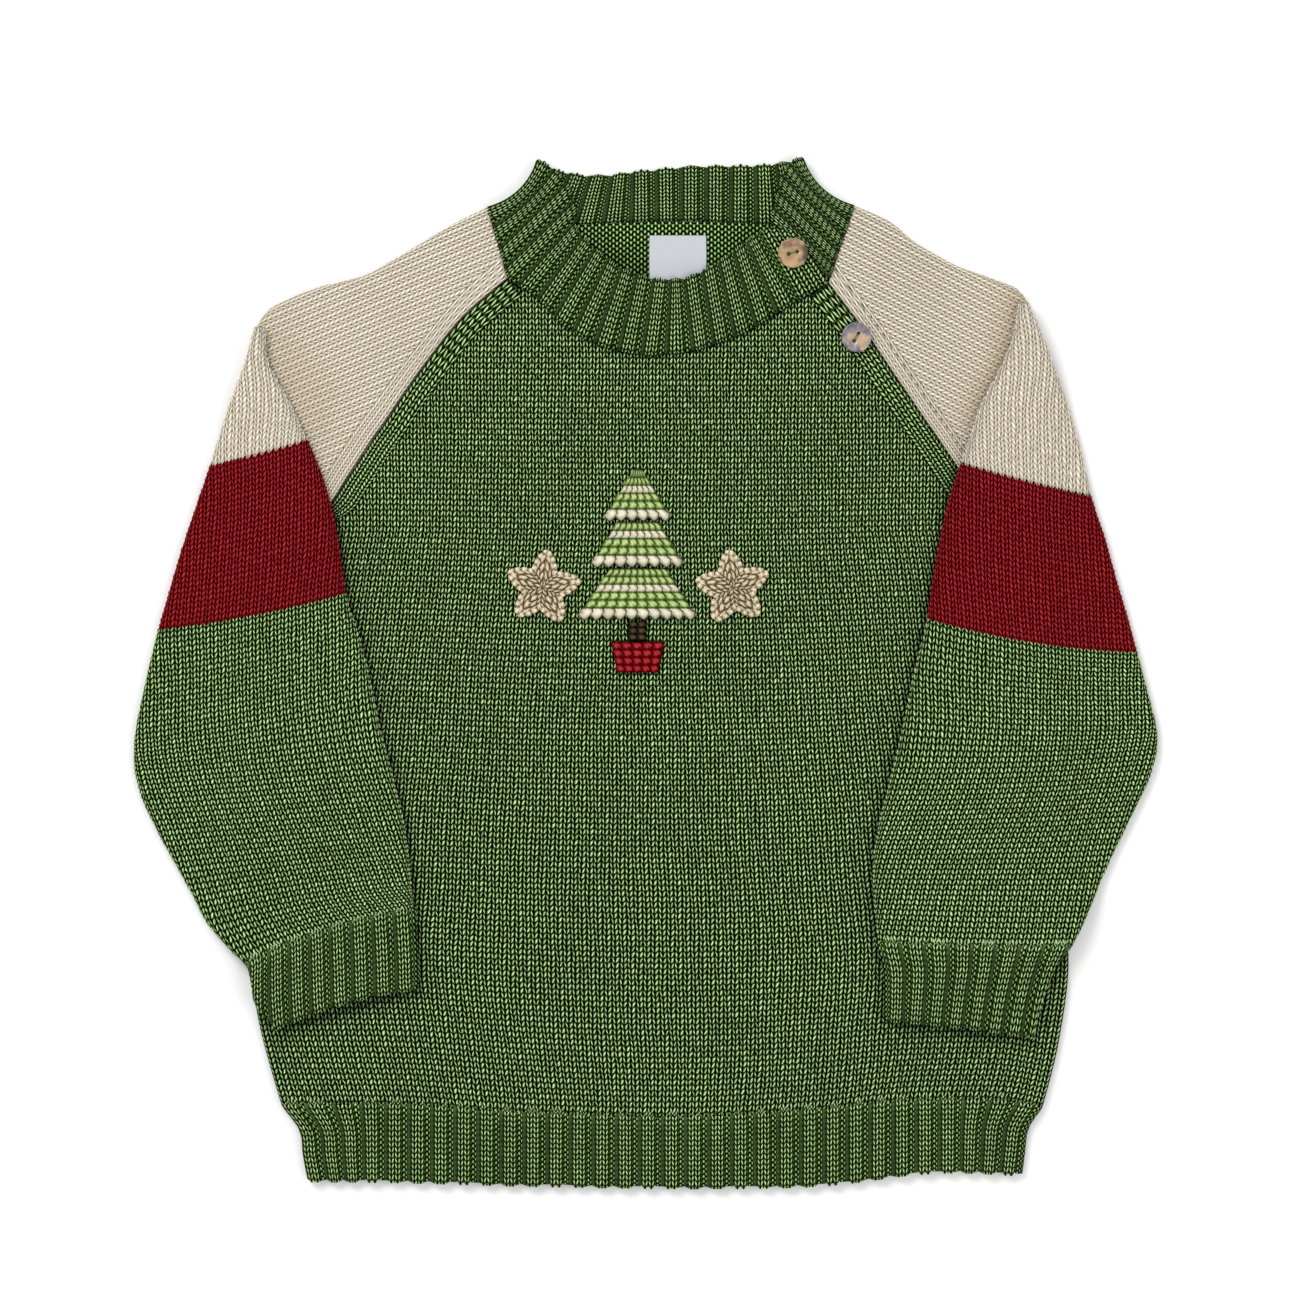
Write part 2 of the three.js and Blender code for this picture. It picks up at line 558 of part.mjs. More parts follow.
// One ring of a sleeve: across the upper layer from the inner to the outer edge, round the
// outer fold, back along the lower layer and round the inner fold.
function sleeveRing({ side, inner, outer, bow, ribs, inset }) {
  const across = outer.clone().sub(inner);
  const width = across.length();
  const out = across.divideScalar(width);
  const down = new THREE.Vector2(out.y, -out.x).multiplyScalar(side === "left" ? 1 : -1);
  const radius = FOLD_RADIUS - inset;
  const reach = width - 2 * FOLD_RADIUS;
  const wallUp = ribs ? RIB_GROOVE : WALL;
  const points = [];
  const place = (distance, height, puff) => {
    const share = distance / width;
    const sag = bow * 4 * share * (1 - share);
    const p = inner.clone().addScaledVector(out, distance).addScaledVector(down, sag);
    const z = sleeveBase(side, p.x, p.y) + height + SLEEVE_PUFF * puff;
    points.push(new THREE.Vector3(p.x, p.y, z));
  };
  const puffAt = (share) => Math.sin(Math.PI * share) * clamp01(reach / PUFF_WIDTH);
  for (const { share, raise } of ribs ? ribColumns(0, 1, ribs) : evenly(10)) {
    const height = 2 * FOLD_RADIUS + (inset ? -wallUp : raise);
    place(FOLD_RADIUS + reach * share, height, puffAt(share));
  }
  const turn = 4;
  for (let k = 0; k <= turn; k += 1) {
    const angle = Math.PI * (0.5 - k / turn);
    place(width - FOLD_RADIUS + radius * Math.cos(angle), FOLD_RADIUS + radius * Math.sin(angle), 0);
  }
  const under = 12;
  for (let k = 1; k < under; k += 1)
    place(FOLD_RADIUS + reach * (1 - k / under), inset, 0);
  for (let k = 0; k <= turn; k += 1) {
    const angle = -Math.PI * (0.5 + k / turn);
    place(FOLD_RADIUS + radius * Math.cos(angle), FOLD_RADIUS + radius * Math.sin(angle), 0);
  }
  return points;
}

function addSleeveStretch(side, name, from, to, rows, colour, ribs = 0) {
  const { rows: table } = SLEEVES[side];
  const [outer, inner] = ["outer", "inner"].map((edge) => smoothCurve(table.map((row) => row[edge])));
  const bows = smoothCurve(table.map((row, k) => [k, row.bow]));
  const length = (a, b) => outer(a).distanceTo(outer(b));
  const start = from + (from > 0 ? SEAM_GAP / 2 / length(from, from + 1) : 0);
  const end = to - (to < table.length - 1 ? SEAM_GAP / 2 / length(to - 1, to) : 0);
  const grid = (inset) =>
    Array.from({ length: rows + 1 }, (_, k) => {
      const t = mix(start, end, k / rows);
      return sleeveRing({ side, inner: inner(t), outer: outer(t), bow: bows(t).y, ribs, inset });
    });
  add(name, wall(grid(0), grid(WALL), true), colour);
}

function addSleeve(side) {
  const { rows, stripe, lower, cuff } = SLEEVES[side];
  addCap(side);
  addSleeveStretch(side, `${side}_upper_sleeve`, 0, stripe, 6, COLOUR.cream);
  addSleeveStretch(side, `${side}_stripe`, stripe, lower, 4, COLOUR.red);
  addSleeveStretch(side, `${side}_lower_sleeve`, lower, cuff, 8, COLOUR.green);
  addSleeveStretch(side, `${side}_cuff`, cuff, rows.length - 1, 2, COLOUR.green, CUFF_RIBS);
}

// A stretch of collar: columns between its seam and its free edge, at even spaces along it. The
// columns at its start and end bow to the side that bows names: 1 to the right, -1 to the left.
function collarStretch({ stations, ribs, plainEnd = 0, level, facing, bows }) {
  const seam = straightCurve(stations.map((s) => s.seam));
  const edge = smoothCurve(stations.map((s) => s.edge));
  const last = stations.length - 1;
  const fine = 240;
  const steps = [0];
  for (let k = 1; k <= fine; k += 1) {
    const [a, b] = [((k - 1) / fine) * last, (k / fine) * last];
    steps.push(steps[k - 1] + seam(a).distanceTo(seam(b)) + edge(a).distanceTo(edge(b)));
  }
  const stationAt = (share) => {
    const target = steps.at(-1) * share;
    let k = 1;
    while (k < fine && steps[k] < target) k += 1;
    const part = clamp01((target - steps[k - 1]) / (steps[k] - steps[k - 1]));
    return ((k - 1 + part) / fine) * last;
  };
  const ribbed = ribColumns(COLLAR_MARGIN, 1 - plainEnd, ribs);
  const columns = [{ share: 0, raise: 0 }, ...ribbed, { share: 1, raise: 0 }];
  const rows = 3;
  const outside = [];
  const inside = [];
  for (let i = 0; i <= rows; i += 1) {
    const height = i / rows;
    const [outsideRow, insideRow] = [[], []];
    for (const { share, raise } of columns) {
      const t = stationAt(share);
      const [low, high] = [seam(t), edge(t)];
      const long = low.distanceTo(high);
      const p = mixPoint(low, high, mix(COLLAR_GAP / long, 1, height));
      const side = bows[0] * (1 - smooth(t / BOW_FADE)) + bows[1] * (1 - smooth((last - t) / BOW_FADE));
      const bow = (COLLAR_BOW * side * 4 * height * (1 - height)) / long;
      const [x, y] = [p.x + bow * (high.y - low.y), p.y - bow * (high.x - low.x)];
      const floor = level(t, height);
      const up = floor + RIB_GROOVE + raise;
      outsideRow.push(new THREE.Vector3(x, y, facing > 0 ? up : floor));
      insideRow.push(new THREE.Vector3(x, y, facing > 0 ? floor : up));
    }
    outside.push(outsideRow);
    inside.push(insideRow);
  }
  return wall(outside, inside);
}

// The front collar climbs on to the shoulder collar at its button flap, but not at its seam.
function flapLevel(t, height) {
  const along = smooth((t - FLAP_START) / (FLAP_TOP - FLAP_START));
  return COLLAR_LEVEL + FLAP_RISE * along * smooth(height / FLAP_SLOPE);
}

const COLLAR = {
  collar_back: {
    stations: COLLAR_BACK,
    ribs: COLLAR_BACK_RIBS,
    level: () => 0,
    facing: -1,
    bows: [1, -1],
  },
  collar_front: {
    stations: COLLAR_FRONT,
    ribs: COLLAR_FRONT_RIBS,
    plainEnd: BUTTON_BAND,
    level: flapLevel,
    facing: 1,
    bows: [1, 0],
  },
  collar_left_shoulder: {
    stations: SHOULDER_COLLAR,
    ribs: SHOULDER_RIBS,
    level: () => COLLAR_LEVEL,
    facing: 1,
    bows: [-1, 0],
  },
};

function addCollar() {
  for (const [name, stretch] of Object.entries(COLLAR)) add(name, collarStretch(stretch), COLOUR.green);
}

// A round button with a bevelled rim and two holes.
function addButton(name, x, y, z, turn, colour) {
  const { radius, thickness, hole, spacing, bevel } = BUTTON;
  const disc = new THREE.Shape().absarc(0, 0, radius - bevel, 0, 2 * Math.PI);
  for (const side of [-1, 1])
    disc.holes.push(new THREE.Path().absarc((side * spacing) / 2, 0, hole + bevel, 0, 2 * Math.PI, true));
  const geometry = new THREE.ExtrudeGeometry(disc, {
    depth: thickness - 2 * bevel,
    bevelThickness: bevel,
    bevelSize: bevel,
    bevelSegments: 1,
    curveSegments: 8,
  });
  geometry.translate(0, 0, bevel);
  geometry.rotateZ(THREE.MathUtils.degToRad(turn));
  geometry.translate(x, y, z);
  add(name, geometry, colour, 0.45);
}

function addLabel() {
  const { left, bottom, width, height, thickness } = LABEL;
  const shape = new THREE.Shape();
  shape.moveTo(left, bottom + height);
  shape.lineTo(left + width * 0.02, bottom + 0.4);
  shape.quadraticCurveTo(left + width * 0.4, bottom - 0.6, left + width * 0.98, bottom + 0.8);
  shape.lineTo(left + width, bottom + height);
  const options = { depth: thickness, bevelEnabled: false, curveSegments: 4 };
  const geometry = new THREE.ExtrudeGeometry(shape, options);
  geometry.translate(0, 0, WALL + SEAM_GAP);
  add("neck_label", geometry, COLOUR.white, 0.6);
}

// A crocheted motif that lies on the front panel and follows its ridges.
function addMotif(name, outline, colour) {
  const { x, y, thickness, bevel } = APPLIQUE;
  const geometry = new THREE.ExtrudeGeometry(new THREE.Shape(outline), {
    depth: thickness,
    bevelThickness: bevel,
    bevelSize: bevel,
    bevelOffset: -bevel,
    bevelSegments: 2,
  });
  geometry.translate(x, y, BODY_TOP + LAYER_GAP + bevel);
  const { position } = geometry.attributes;
  for (let k = 0; k < position.count; k += 1)
    position.setZ(k, position.getZ(k) + lift(position.getX(k), position.getY(k)));
  add(name, geometry, colour);
}

// A star whose radius swings between its points and its notches, with soft corners.
function starOutline({ x, y, turn }) {
  const { radius, notch, steps } = STAR;
  return Array.from({ length: steps }, (_, k) => {
    const angle = (k / steps) * 2 * Math.PI + turn;
    const point = Math.abs(((k % 6) - 3) / 3) ** 1.15;
    const r = mix(notch, radius, point);
    return new THREE.Vector2(x + r * Math.sin(angle), y + r * Math.cos(angle));
  });
}

// A branch tier of the fir: sloping sides and a lower edge of scallops.
function tierOutline({ bottom, top, low, high, scallops }) {
  const points = [new THREE.Vector2(high, top), new THREE.Vector2(-high, top)];
  const steps = scallops * 4;
  for (let k = 0; k <= steps; k += 1) {
    const x = mix(-low, low, k / steps);
    points.push(new THREE.Vector2(x, bottom + SCALLOP * (1 - Math.abs(Math.sin((Math.PI * k) / 4)))));
  }
  return points;
}

const TIERS = [
  { name: "tree_bottom", bottom: 20.5, top: 40.5, low: 23, high: 11, scallops: 7 },
  { name: "tree_middle", bottom: 40.9, top: 58.5, low: 18, high: 8, scallops: 5 },
  { name: "tree_top", bottom: 58.9, top: 79, low: 13, high: 1.6, scallops: 4 },
];
const STARS = [
  { name: "star_right", x: -37, y: 33, turn: 0.12 },
  { name: "star_left", x: 37, y: 33, turn: -0.12 },
];

const BLOCKS = [
  { name: "tree_trunk", low: 3.6, high: 3.4, bottom: 12.4, top: 20.1, colour: COLOUR.brown },
  { name: "tree_pot", low: 8, high: 10.5, bottom: 0, top: 12, colour: COLOUR.red },
];

const trapezium = ({ low, high, bottom, top }) =>
  toVectors([[-low, bottom], [low, bottom], [high, top], [-high, top]]);

function addApplique() {
  for (const tier of TIERS) addMotif(tier.name, tierOutline(tier), COLOUR.leaf);
  for (const block of BLOCKS) addMotif(block.name, trapezium(block), block.colour);
  for (const star of STARS) addMotif(star.name, starOutline(star), COLOUR.tan);
}

addBody();
addHem();
addSleeve("right");
addSleeve("left");
addCollar();
addButton("collar_button", 57.2, 162.8, FLAP_FACE + SEAM_GAP, 15, COLOUR.coconut);
addButton("raglan_button", 82, 130.4, BODY_TOP + SEAM_GAP, 60, COLOUR.shell);
addLabel();
addApplique();

export default group;
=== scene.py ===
"""A toddler's hand-knitted raglan sweater, laid flat with both sleeves turned in over the front.

Sizes in the tables are millimetres in the garment's own plane: +X is the wearer's left and +Y is
towards the collar. Each knitted piece is a closed shell: a fine grid of stitches outside and a
coarse grid inside.
"""

import math

import bmesh
import bpy
import numpy as np
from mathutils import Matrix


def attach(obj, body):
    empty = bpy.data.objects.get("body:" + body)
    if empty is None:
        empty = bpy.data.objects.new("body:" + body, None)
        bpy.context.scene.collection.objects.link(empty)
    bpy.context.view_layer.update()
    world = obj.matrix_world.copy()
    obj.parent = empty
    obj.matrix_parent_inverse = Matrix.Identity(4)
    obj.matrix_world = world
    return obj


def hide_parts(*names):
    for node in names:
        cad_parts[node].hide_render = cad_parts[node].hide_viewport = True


bl_info = {
    "name": "Knitted Christmas sweater",
    "version": (1, 0, 0),
    "blender": (4, 5, 0),
    "location": "View3D > Sidebar > Sweater",
    "description": "Builds the stitches, ribs, crochet, buttons and finishes of a laid-out sweater",
    "category": "Object",
}

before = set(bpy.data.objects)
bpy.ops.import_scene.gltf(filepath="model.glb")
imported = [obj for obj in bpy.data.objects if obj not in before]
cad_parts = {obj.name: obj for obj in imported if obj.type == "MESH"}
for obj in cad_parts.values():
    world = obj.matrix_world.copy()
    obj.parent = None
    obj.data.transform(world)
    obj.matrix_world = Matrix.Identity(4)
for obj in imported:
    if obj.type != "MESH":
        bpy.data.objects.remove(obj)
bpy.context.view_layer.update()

MM = 0.001
# The point of the garment's plane that lies at the part's origin.
CENTRE = np.array([0.0, -0.2, 0.0])

# Walls and gaps, as in the solids: one layer of cloth, the space between the back and the front,
# the space under a sleeve, a rib's wall in its hollows and how far its ribs stand above them.
WALL = 2.0
LAYER_GAP = 0.4
SLEEVE_GAP = 0.7
RIB_GROOVE = 1.8
RIB_RAISE = 0.9
# The radius of every fold, the run of a sleeve's slope off the body and the swell of its middle.
FOLD_RADIUS = 2.2
RAMP = 14.0
SLEEVE_PUFF = 1.2
# The height of the collar's underside, and how much higher its flap lies on the shoulder.
COLLAR_LEVEL = 3.75
FLAP_RISE = 3.0
BODY_TOP = 2 * WALL + LAYER_GAP
MID = BODY_TOP / 2

# A stitch is a V of two legs. The left leg is the steeper and narrower one.
LEFT_LEG = 0.4
LEG_RISE = 0.95
# Width of a stitch and height of a row on the sleeves, the caps and the raglan bands.
WALE = 2.85
COURSE = 2.15
# A knit leg's height: the power of its half sine across, its lowest part along and how unevenly
# the legs stand.
LEG_POWER = 0.7
LEG_FLOOR = 0.4
LEG_UNEVEN = 0.3
# A purl arc's height: its swing up and down, its lowest part along and the dip between its lobes.
PURL_SWING = 0.28
PURL_FLOOR = 0.3
PURL_DIP = 0.22
# The same for a crocheted knot: its power and how far its strands lean together.
KNOT_POWER = 0.6
KNOT_LEAN = 0.35

# The inside of a piece has every fourth row and column of its outside.
GRID_STEP = 4
COARSE = (slice(None, None, GRID_STEP), slice(None, None, GRID_STEP))

HEM_TOP = [
    [-141.6, -168.9], [-91.8, -169.1], [-45, -172.2], [21.3, -173.4], [71.2, -170.5],
    [91.1, -168.3], [115.2, -167.1], [141, -167.4], [154.5, -169.8],
]
HEM_BOTTOM = [
    [-131.6, -198], [-91.8, -198.5], [-45, -199.8], [27.5, -200.7], [71.2, -199.5],
    [104.3, -195.4], [122, -194.6], [146.8, -195.8],
]
SIDE_RIGHT = [
    [-141.6, -168.9], [-145.5, -156], [-150.9, -134.7], [-154, -110], [-149.5, -60], [-141, 0],
    [-131, 55.6],
]
SIDE_LEFT = [
    [154.5, -169.8], [157.8, -157.8], [161, -143.7], [164.8, -111], [157.5, -60], [147, 0],
    [137, 55.6],
]
HEM_SIDE_RIGHT = [[-131.6, -198], [-133.4, -193.2], [-134.6, -182.6], [-141.6, -168.9]]
HEM_SIDE_LEFT = [[146.8, -195.8], [147.9, -189.7], [149.2, -180.8], [154.5, -169.8]]
NECK_FRONT = [
    [-53.6, 153.5], [-45.8, 148.6], [-39.8, 143.3], [-32.6, 135.9], [-23.2, 129.5], [-11.9, 125.4],
    [-2.9, 123.8], [5.7, 123.6], [18.5, 125], [25.2, 127.1], [33.3, 129.9], [41.9, 134], [48.4, 137.9],
    [56.4, 142.9], [63, 146.8], [71.2, 151.5],
]
NECK_BACK = [[-39.2, 173.4], [-17.7, 174.6], [10, 175.4], [36, 174.8], [60.3, 173.4]]

# Sleeve caps: edge at the front seam, at the fold and at the back seam.
CAP_COLUMNS = ("front", "fold", "back")
CAPS = {
    "right": [
        [(-53.6, 153.5), (-61.8, 181.2), (-39.2, 173.4)],
        [(-71.2, 138.3), (-76, 174.1), (-52, 157)],
        [(-85.6, 120.3), (-95.1, 162.8), (-68, 137)],
        [(-93.4, 109.4), (-109.4, 155), (-82, 120)],
        [(-101.2, 97.7), (-127.3, 150.3), (-93, 105.5)],
        [(-106.7, 89.9), (-138.3, 146.1), (-101, 96)],
        [(-111.7, 82.1), (-147.6, 140.8), (-108, 86)],
        [(-116.8, 74.3), (-151.9, 133.4), (-114, 77.5)],
        [(-121.5, 66.9), (-152, 121), (-120, 69)],
        [(-126, 61.4), (-151.1, 94.6), (-126, 62)],
        [(-131, 55.6), (-149.6, 67.3), (-131, 55.6)],
    ],
    "left": [
        [(71.2, 151.5), (81.5, 181.8), (60.3, 173.4)],
        [(84, 134.5), (95.4, 175.7), (72, 158)],
        [(90, 126), (104.1, 168.4), (80, 147)],
        [(96.5, 116.2), (112.1, 163.6), (90, 133)],
        [(103, 106.7), (120.3, 159.1), (98, 121)],
        [(109, 97.7), (128.9, 155.8), (105, 110)],
        [(114, 90.5), (138.3, 152.5), (112, 98)],
        [(119, 83), (145.2, 149.2), (118, 88)],
        [(123, 77), (149.4, 143), (124, 79)],
        [(128, 69), (150, 128), (129, 70)],
        [(132.5, 62.5), (149.6, 100.4), (133, 63)],
        [(137, 55.6), (148.4, 71.2), (137, 55.6)],
    ],
}

# Sleeves: outer edge, inner edge and the bow of each section.
SLEEVE_COLUMNS = ("outer", "inner", "bow")
SLEEVES = {
    "right": [
        [(-152.5, 134.2), (-147.8, 134.2), 0],
        [(-156, 121.6), (-146.4, 121.1), 0],
        [(-159.7, 111.3), (-141, 110.6), 0],
        [(-163.2, 102.5), (-136.7, 102), 0],
        [(-167.1, 90.3), (-133.6, 95.7), 0],
        [(-170.8, 78.7), (-130.8, 89.5), 0.5],
        [(-176.1, 63), (-125.4, 76.2), 0.8],
        [(-181.2, 47.8), (-121.1, 61.4), 1.1],
        [(-185.8, 32.2), (-118.4, 45.8), 1.4],
        [(-190.6, 15.4), (-116, 29.6), 1.6],
        [(-195.3, -4.1), (-110.6, 12.7), 1.6],
        [(-199.5, -26.3), (-105.5, -8.8), 1.2],
        [(-199.5, -37.2), (-102, -25.5), 0.8],
        [(-196.9, -48), (-98.5, -38.8), 0.4],
        [(-191.1, -60.8), (-95, -52), 0],
        [(-183.6, -74.7), (-92.6, -65.3), -0.6],
        [(-177.1, -86.4), (-91.5, -74.7), -1.2],
        [(-171.4, -97.3), (-90.7, -82.9), -1.8],
        [(-162.8, -107.1), (-90.3, -88), -2.4],
        [(-155.4, -114.5), (-90.1, -92.6), -2.8],
        [(-153.5, -121.5), (-89.5, -102.8), -2.8],
        [(-151.1, -129.3), (-89.1, -112.9), -2.8],
        [(-143.7, -139), (-88.9, -123.4), -2.8],
    ],
    "left": [
        [(149.3, 143.7), (144.7, 143.7), 0],
        [(155, 130.5), (142.4, 130.5), 0],
        [(160.1, 117.6), (137.5, 118.4), 0],
        [(164.8, 104.3), (130.8, 105.5), 0],
        [(169.5, 89.1), (126.5, 93.8), 0.4],
        [(174.5, 67.3), (122.1, 80.5), 0.8],
        [(179.6, 51.7), (117.2, 65.3), 1.4],
        [(183.9, 36.1), (114.1, 50.5), 1.9],
        [(188.2, 21.6), (111.3, 34.9), 2.3],
        [(192.3, 6.8), (109, 19.7), 2.7],
        [(196, -7.2), (103.9, -1), 2.4],
        [(199.5, -21.6), (100.4, -18.5), 2],
        [(199.7, -30.2), (96.9, -33), 1.6],
        [(196.4, -41.9), (93.8, -45.8), 1.2],
        [(190.5, -54.4), (90.7, -58.3), 0.8],
        [(184.2, -67.3), (88.7, -69.2), 0.5],
        [(178, -80.9), (88.3, -80.9), 0.4],
        [(173, -92.6), (88.9, -91.5), 0.4],
        [(165.6, -107.2), (90.5, -105.5), 0.8],
        [(159.3, -115.2), (93, -115.2), 0.4],
        [(153.9, -127.7), (93.4, -125.8), 0],
        [(150.1, -142), (93.2, -135.3), -0.8],
    ],
}
# The row of each sleeve table where the colour or the stitch changes.
SLEEVE_JOINS = {
    "right": {"stripe": 5, "lower": 9, "cuff": 19, "end": 22},
    "left": {"stripe": 5, "lower": 9, "cuff": 18, "end": 21},
}
# How far out the body and the caps reach under a sleeve, as (y, x).
SUPPORT = {
    "right": [
        (-150, -158.5), (-112, -158.5), (-90, -157), (-60, -154.5), (-30, -152), (0, -150), (30, -151),
        (67, -154), (150, -155),
    ],
    "left": [
        (-150, 169.5), (-111, 169.5), (-60, 162.5), (-30, 158), (0, 154), (30, 152.5), (67, 153.5),
        (150, 153.5),
    ],
}

# Collar stations: a point on the seam and one on the free edge.
COLLAR_COLUMNS = ("seam", "edge")
COLLAR_FRONT = [
    [(-61.8, 181.2), (-42.3, 199.5)], [(-59.4, 173), (-35.5, 195.5)], [(-56.5, 163.4), (-30.5, 189)],
    [(-53.6, 153.5), (-27.8, 179)], [(-45.8, 148.6), (-26.7, 172)], [(-39.8, 143.3), (-23, 168)],
    [(-32.6, 135.9), (-17.5, 163)], [(-23.2, 129.5), (-11.5, 158)], [(-11.9, 125.4), (-4.5, 154.8)],
    [(-2.9, 123.8), (2, 153.3)], [(5.7, 123.6), (8.5, 152.5)], [(18.5, 125), (15, 153)],
    [(25.2, 127.1), (21, 155.5)], [(33.3, 129.9), (27.5, 159)], [(41.9, 134), (33.5, 163)],
    [(48.4, 137.9), (38, 166.6)], [(56.4, 142.9), (42, 169.3)], [(63, 146.8), (48, 171.6)],
    [(70.9, 151.8), (57.5, 171.2)],
]
# The stations between which the flap climbs on to the shoulder, and the bow of the collar's outer
# edges with the stations that it takes to fade.
FLAP_START = 14.3
FLAP_TOP = 16.4
COLLAR_BOW = 3.6
BOW_FADE = 2.2
COLLAR_BACK = [
    [(-61.8, 181.2), (-42.3, 199.5)], [(-50, 177.2), (-36, 196.2)], [(-39.2, 173.4), (-30, 194.6)],
    [(-28, 174), (-22, 193.4)], [(-17.7, 174.6), (-14, 193.6)], [(-2.9, 175.5), (-2.9, 195.2)],
    [(17.4, 175.8), (17.4, 196.8)], [(36, 174.8), (36.1, 197.3)], [(48, 174.1), (47, 197.6)],
    [(60.3, 173.4), (54, 198.3)], [(70, 177.4), (58, 199.3)], [(81.5, 181.8), (61.4, 200.3)],
]
SHOULDER_COLLAR = [
    [(81.5, 181.8), (61.4, 200.3)], [(79.7, 176.5), (56.5, 198.5)], [(77.3, 169.5), (53.5, 193)],
    [(75.2, 163.4), (51.8, 187)], [(73.2, 157.5), (50, 179.5)], [(71.9, 153.6), (48.3, 172.5)],
]

# Soft ridges in the front layer: middle x and y, turn in degrees, reach along and across, height.
FOLD_COLUMNS = ("x", "y", "turn", "along", "across", "height")
FOLDS = [
    (-66, 60, 58, 46, 9, 0.9),
    (70, 50, 118, 48, 10, 0.9),
    (-62, -62, 84, 60, 10, 1.0),
    (62, -70, 98, 58, 9, 1.0),
    (4, -112, 88, 44, 12, 0.8),
    (-104, -146, 22, 26, 8, 0.9),
    (112, -148, 160, 28, 8, 0.9),
    (-102, 128, 28, 24, 8, 0.8),
    (108, 132, 130, 22, 8, 0.8),
]


def smooth(t):
    """The smoothstep curve: three t squared less two t cubed, held between nought and one."""
    t = np.clip(t, 0.0, 1.0)
    return t * t * (3 - 2 * t)


def mix(a, b, t):
    """A straight blend from a to b."""
    return a + (b - a) * t


def bell(distance, reach):
    """A bell curve: one at no distance and about a third at its reach."""
    return np.exp(-((distance / reach) ** 2))


def column(rows, names, name):
    """One column of a table as an array."""
    return np.array([row[names.index(name)] for row in rows], float)


def curve(points, t):
    """Centripetal Catmull-Rom curve through a table's points; t counts its rows."""
    p = np.asarray(points, float)
    last = len(p) - 1
    p = np.vstack([2 * p[0] - p[1], p, 2 * p[-1] - p[-2]])
    t = np.clip(np.asarray(t, float), 0, last)
    k = np.minimum(t.astype(int), last - 1)
    w = (t - k)[..., None]
    a, b, c, d = (p[k + n] for n in range(4))

    def span(first, second):
        return np.maximum(np.linalg.norm(second - first, axis=-1, keepdims=True), 1e-6) ** 0.5

    ab, bc, cd = span(a, b), span(b, c), span(c, d)
    start = ((b - a) / ab - (c - a) / (ab + bc) + (c - b) / bc) * bc
    stop = ((c - b) / bc - (d - b) / (bc + cd) + (d - c) / cd) * bc
    return b + w * (start + w * (3 * (c - b) - 2 * start - stop + w * (2 * (b - c) + start + stop)))


# Points of a polyline to each row of its table.
CURVE_STEPS = 16


def polyline(points):
    """The curve as evenly stepped points."""
    last = len(points) - 1
    return curve(points, np.linspace(0, last, last * CURVE_STEPS + 1))


def lengths(line):
    """The length of a polyline up to each of its points."""
    return np.concatenate([[0], np.cumsum(np.linalg.norm(np.diff(line, axis=0), axis=1))])


def y_at(points, x):
    """A curve's y at each x, where the curve runs from low x to high x."""
    line = polyline(points)
    return np.interp(x, line[:, 0], line[:, 1])


def x_at(points, y):
    """A curve's x at each y, where the curve runs from low y to high y."""
    line = polyline(points)
    return np.interp(y, line[:, 1], line[:, 0])


def lift(x, y):
    """Height of the soft ridges: each is a bell along its length and across its width."""
    height = np.zeros(np.broadcast(x, y).shape)
    for row in FOLDS:
        fold = dict(zip(FOLD_COLUMNS, row))
        turn = math.radians(fold["turn"])
        along = (x - fold["x"]) * math.cos(turn) + (y - fold["y"]) * math.sin(turn)
        across = (y - fold["y"]) * math.cos(turn) - (x - fold["x"]) * math.sin(turn)
        height = height + fold["height"] * np.exp(
            -((along / fold["along"]) ** 2) - (across / fold["across"]) ** 2
        )
    return height


def front_top(x, y):
    """The upper face of the front layer."""
    return BODY_TOP + lift(x, y)


def sleeve_base(side, x, y):
    """What a sleeve lies on: the front layer, and then a slope down to the ground."""
    table = np.array(SUPPORT[side])
    edge = np.interp(y, table[:, 0], table[:, 1])
    outside = (x - edge) if side == "left" else (edge - x)
    return (BODY_TOP + SLEEVE_GAP + lift(x, y)) * (1 - smooth(outside / RAMP))


def leg_phase(u, v):
    """Splits a wale into its two legs. Gives the place across the leg and along it, each from
    nought to one: the legs rise from the middle of the wale to its sides, and a leg's crest is
    at a whole v."""
    f = np.mod(u, 1.0)
    left = f < LEFT_LEG
    across = np.where(left, f / LEFT_LEG, (f - LEFT_LEG) / (1 - LEFT_LEG))
    rise = LEG_RISE * np.where(left, 1 - across, across)
    return across, np.mod(v - rise + 0.5, 1.0), rise


def scatter(a, b):
    """A fixed random value from nought to one for each pair of whole numbers."""
    return np.mod(np.sin(a * 12.9898 + b * 78.233) * 43758.5453, 1.0)


def leg_number(u):
    """The number of a wale's leg, counted across the cloth."""
    return 2 * np.floor(u) + (np.mod(u, 1.0) < LEFT_LEG)


def knit_height(u, v):
    """Height of plain knit: a half sine across each leg and a softer one along it. Hand-knitted
    legs stand up unevenly, by up to a third."""
    across, along, rise = leg_phase(u, v)
    stand = 1 - LEG_UNEVEN * scatter(leg_number(u), np.floor(v - rise + 0.5))
    ridge = np.sin(np.pi * across) ** LEG_POWER
    return stand * ridge * (LEG_FLOOR + (1 - LEG_FLOOR) * np.sin(np.pi * along))


def wander(u, v):
    """How far a wale strays sideways, in wales: slow waves and a small random step for each leg."""
    waves = 0.07 * np.sin(v / 4.3 + 1.7 * np.sin(u / 5.1)) + 0.05 * np.sin(v / 1.9 + u * 2.3)
    return waves + 0.14 * (scatter(leg_number(u) + 31, np.floor(v * 2)) - 0.5)


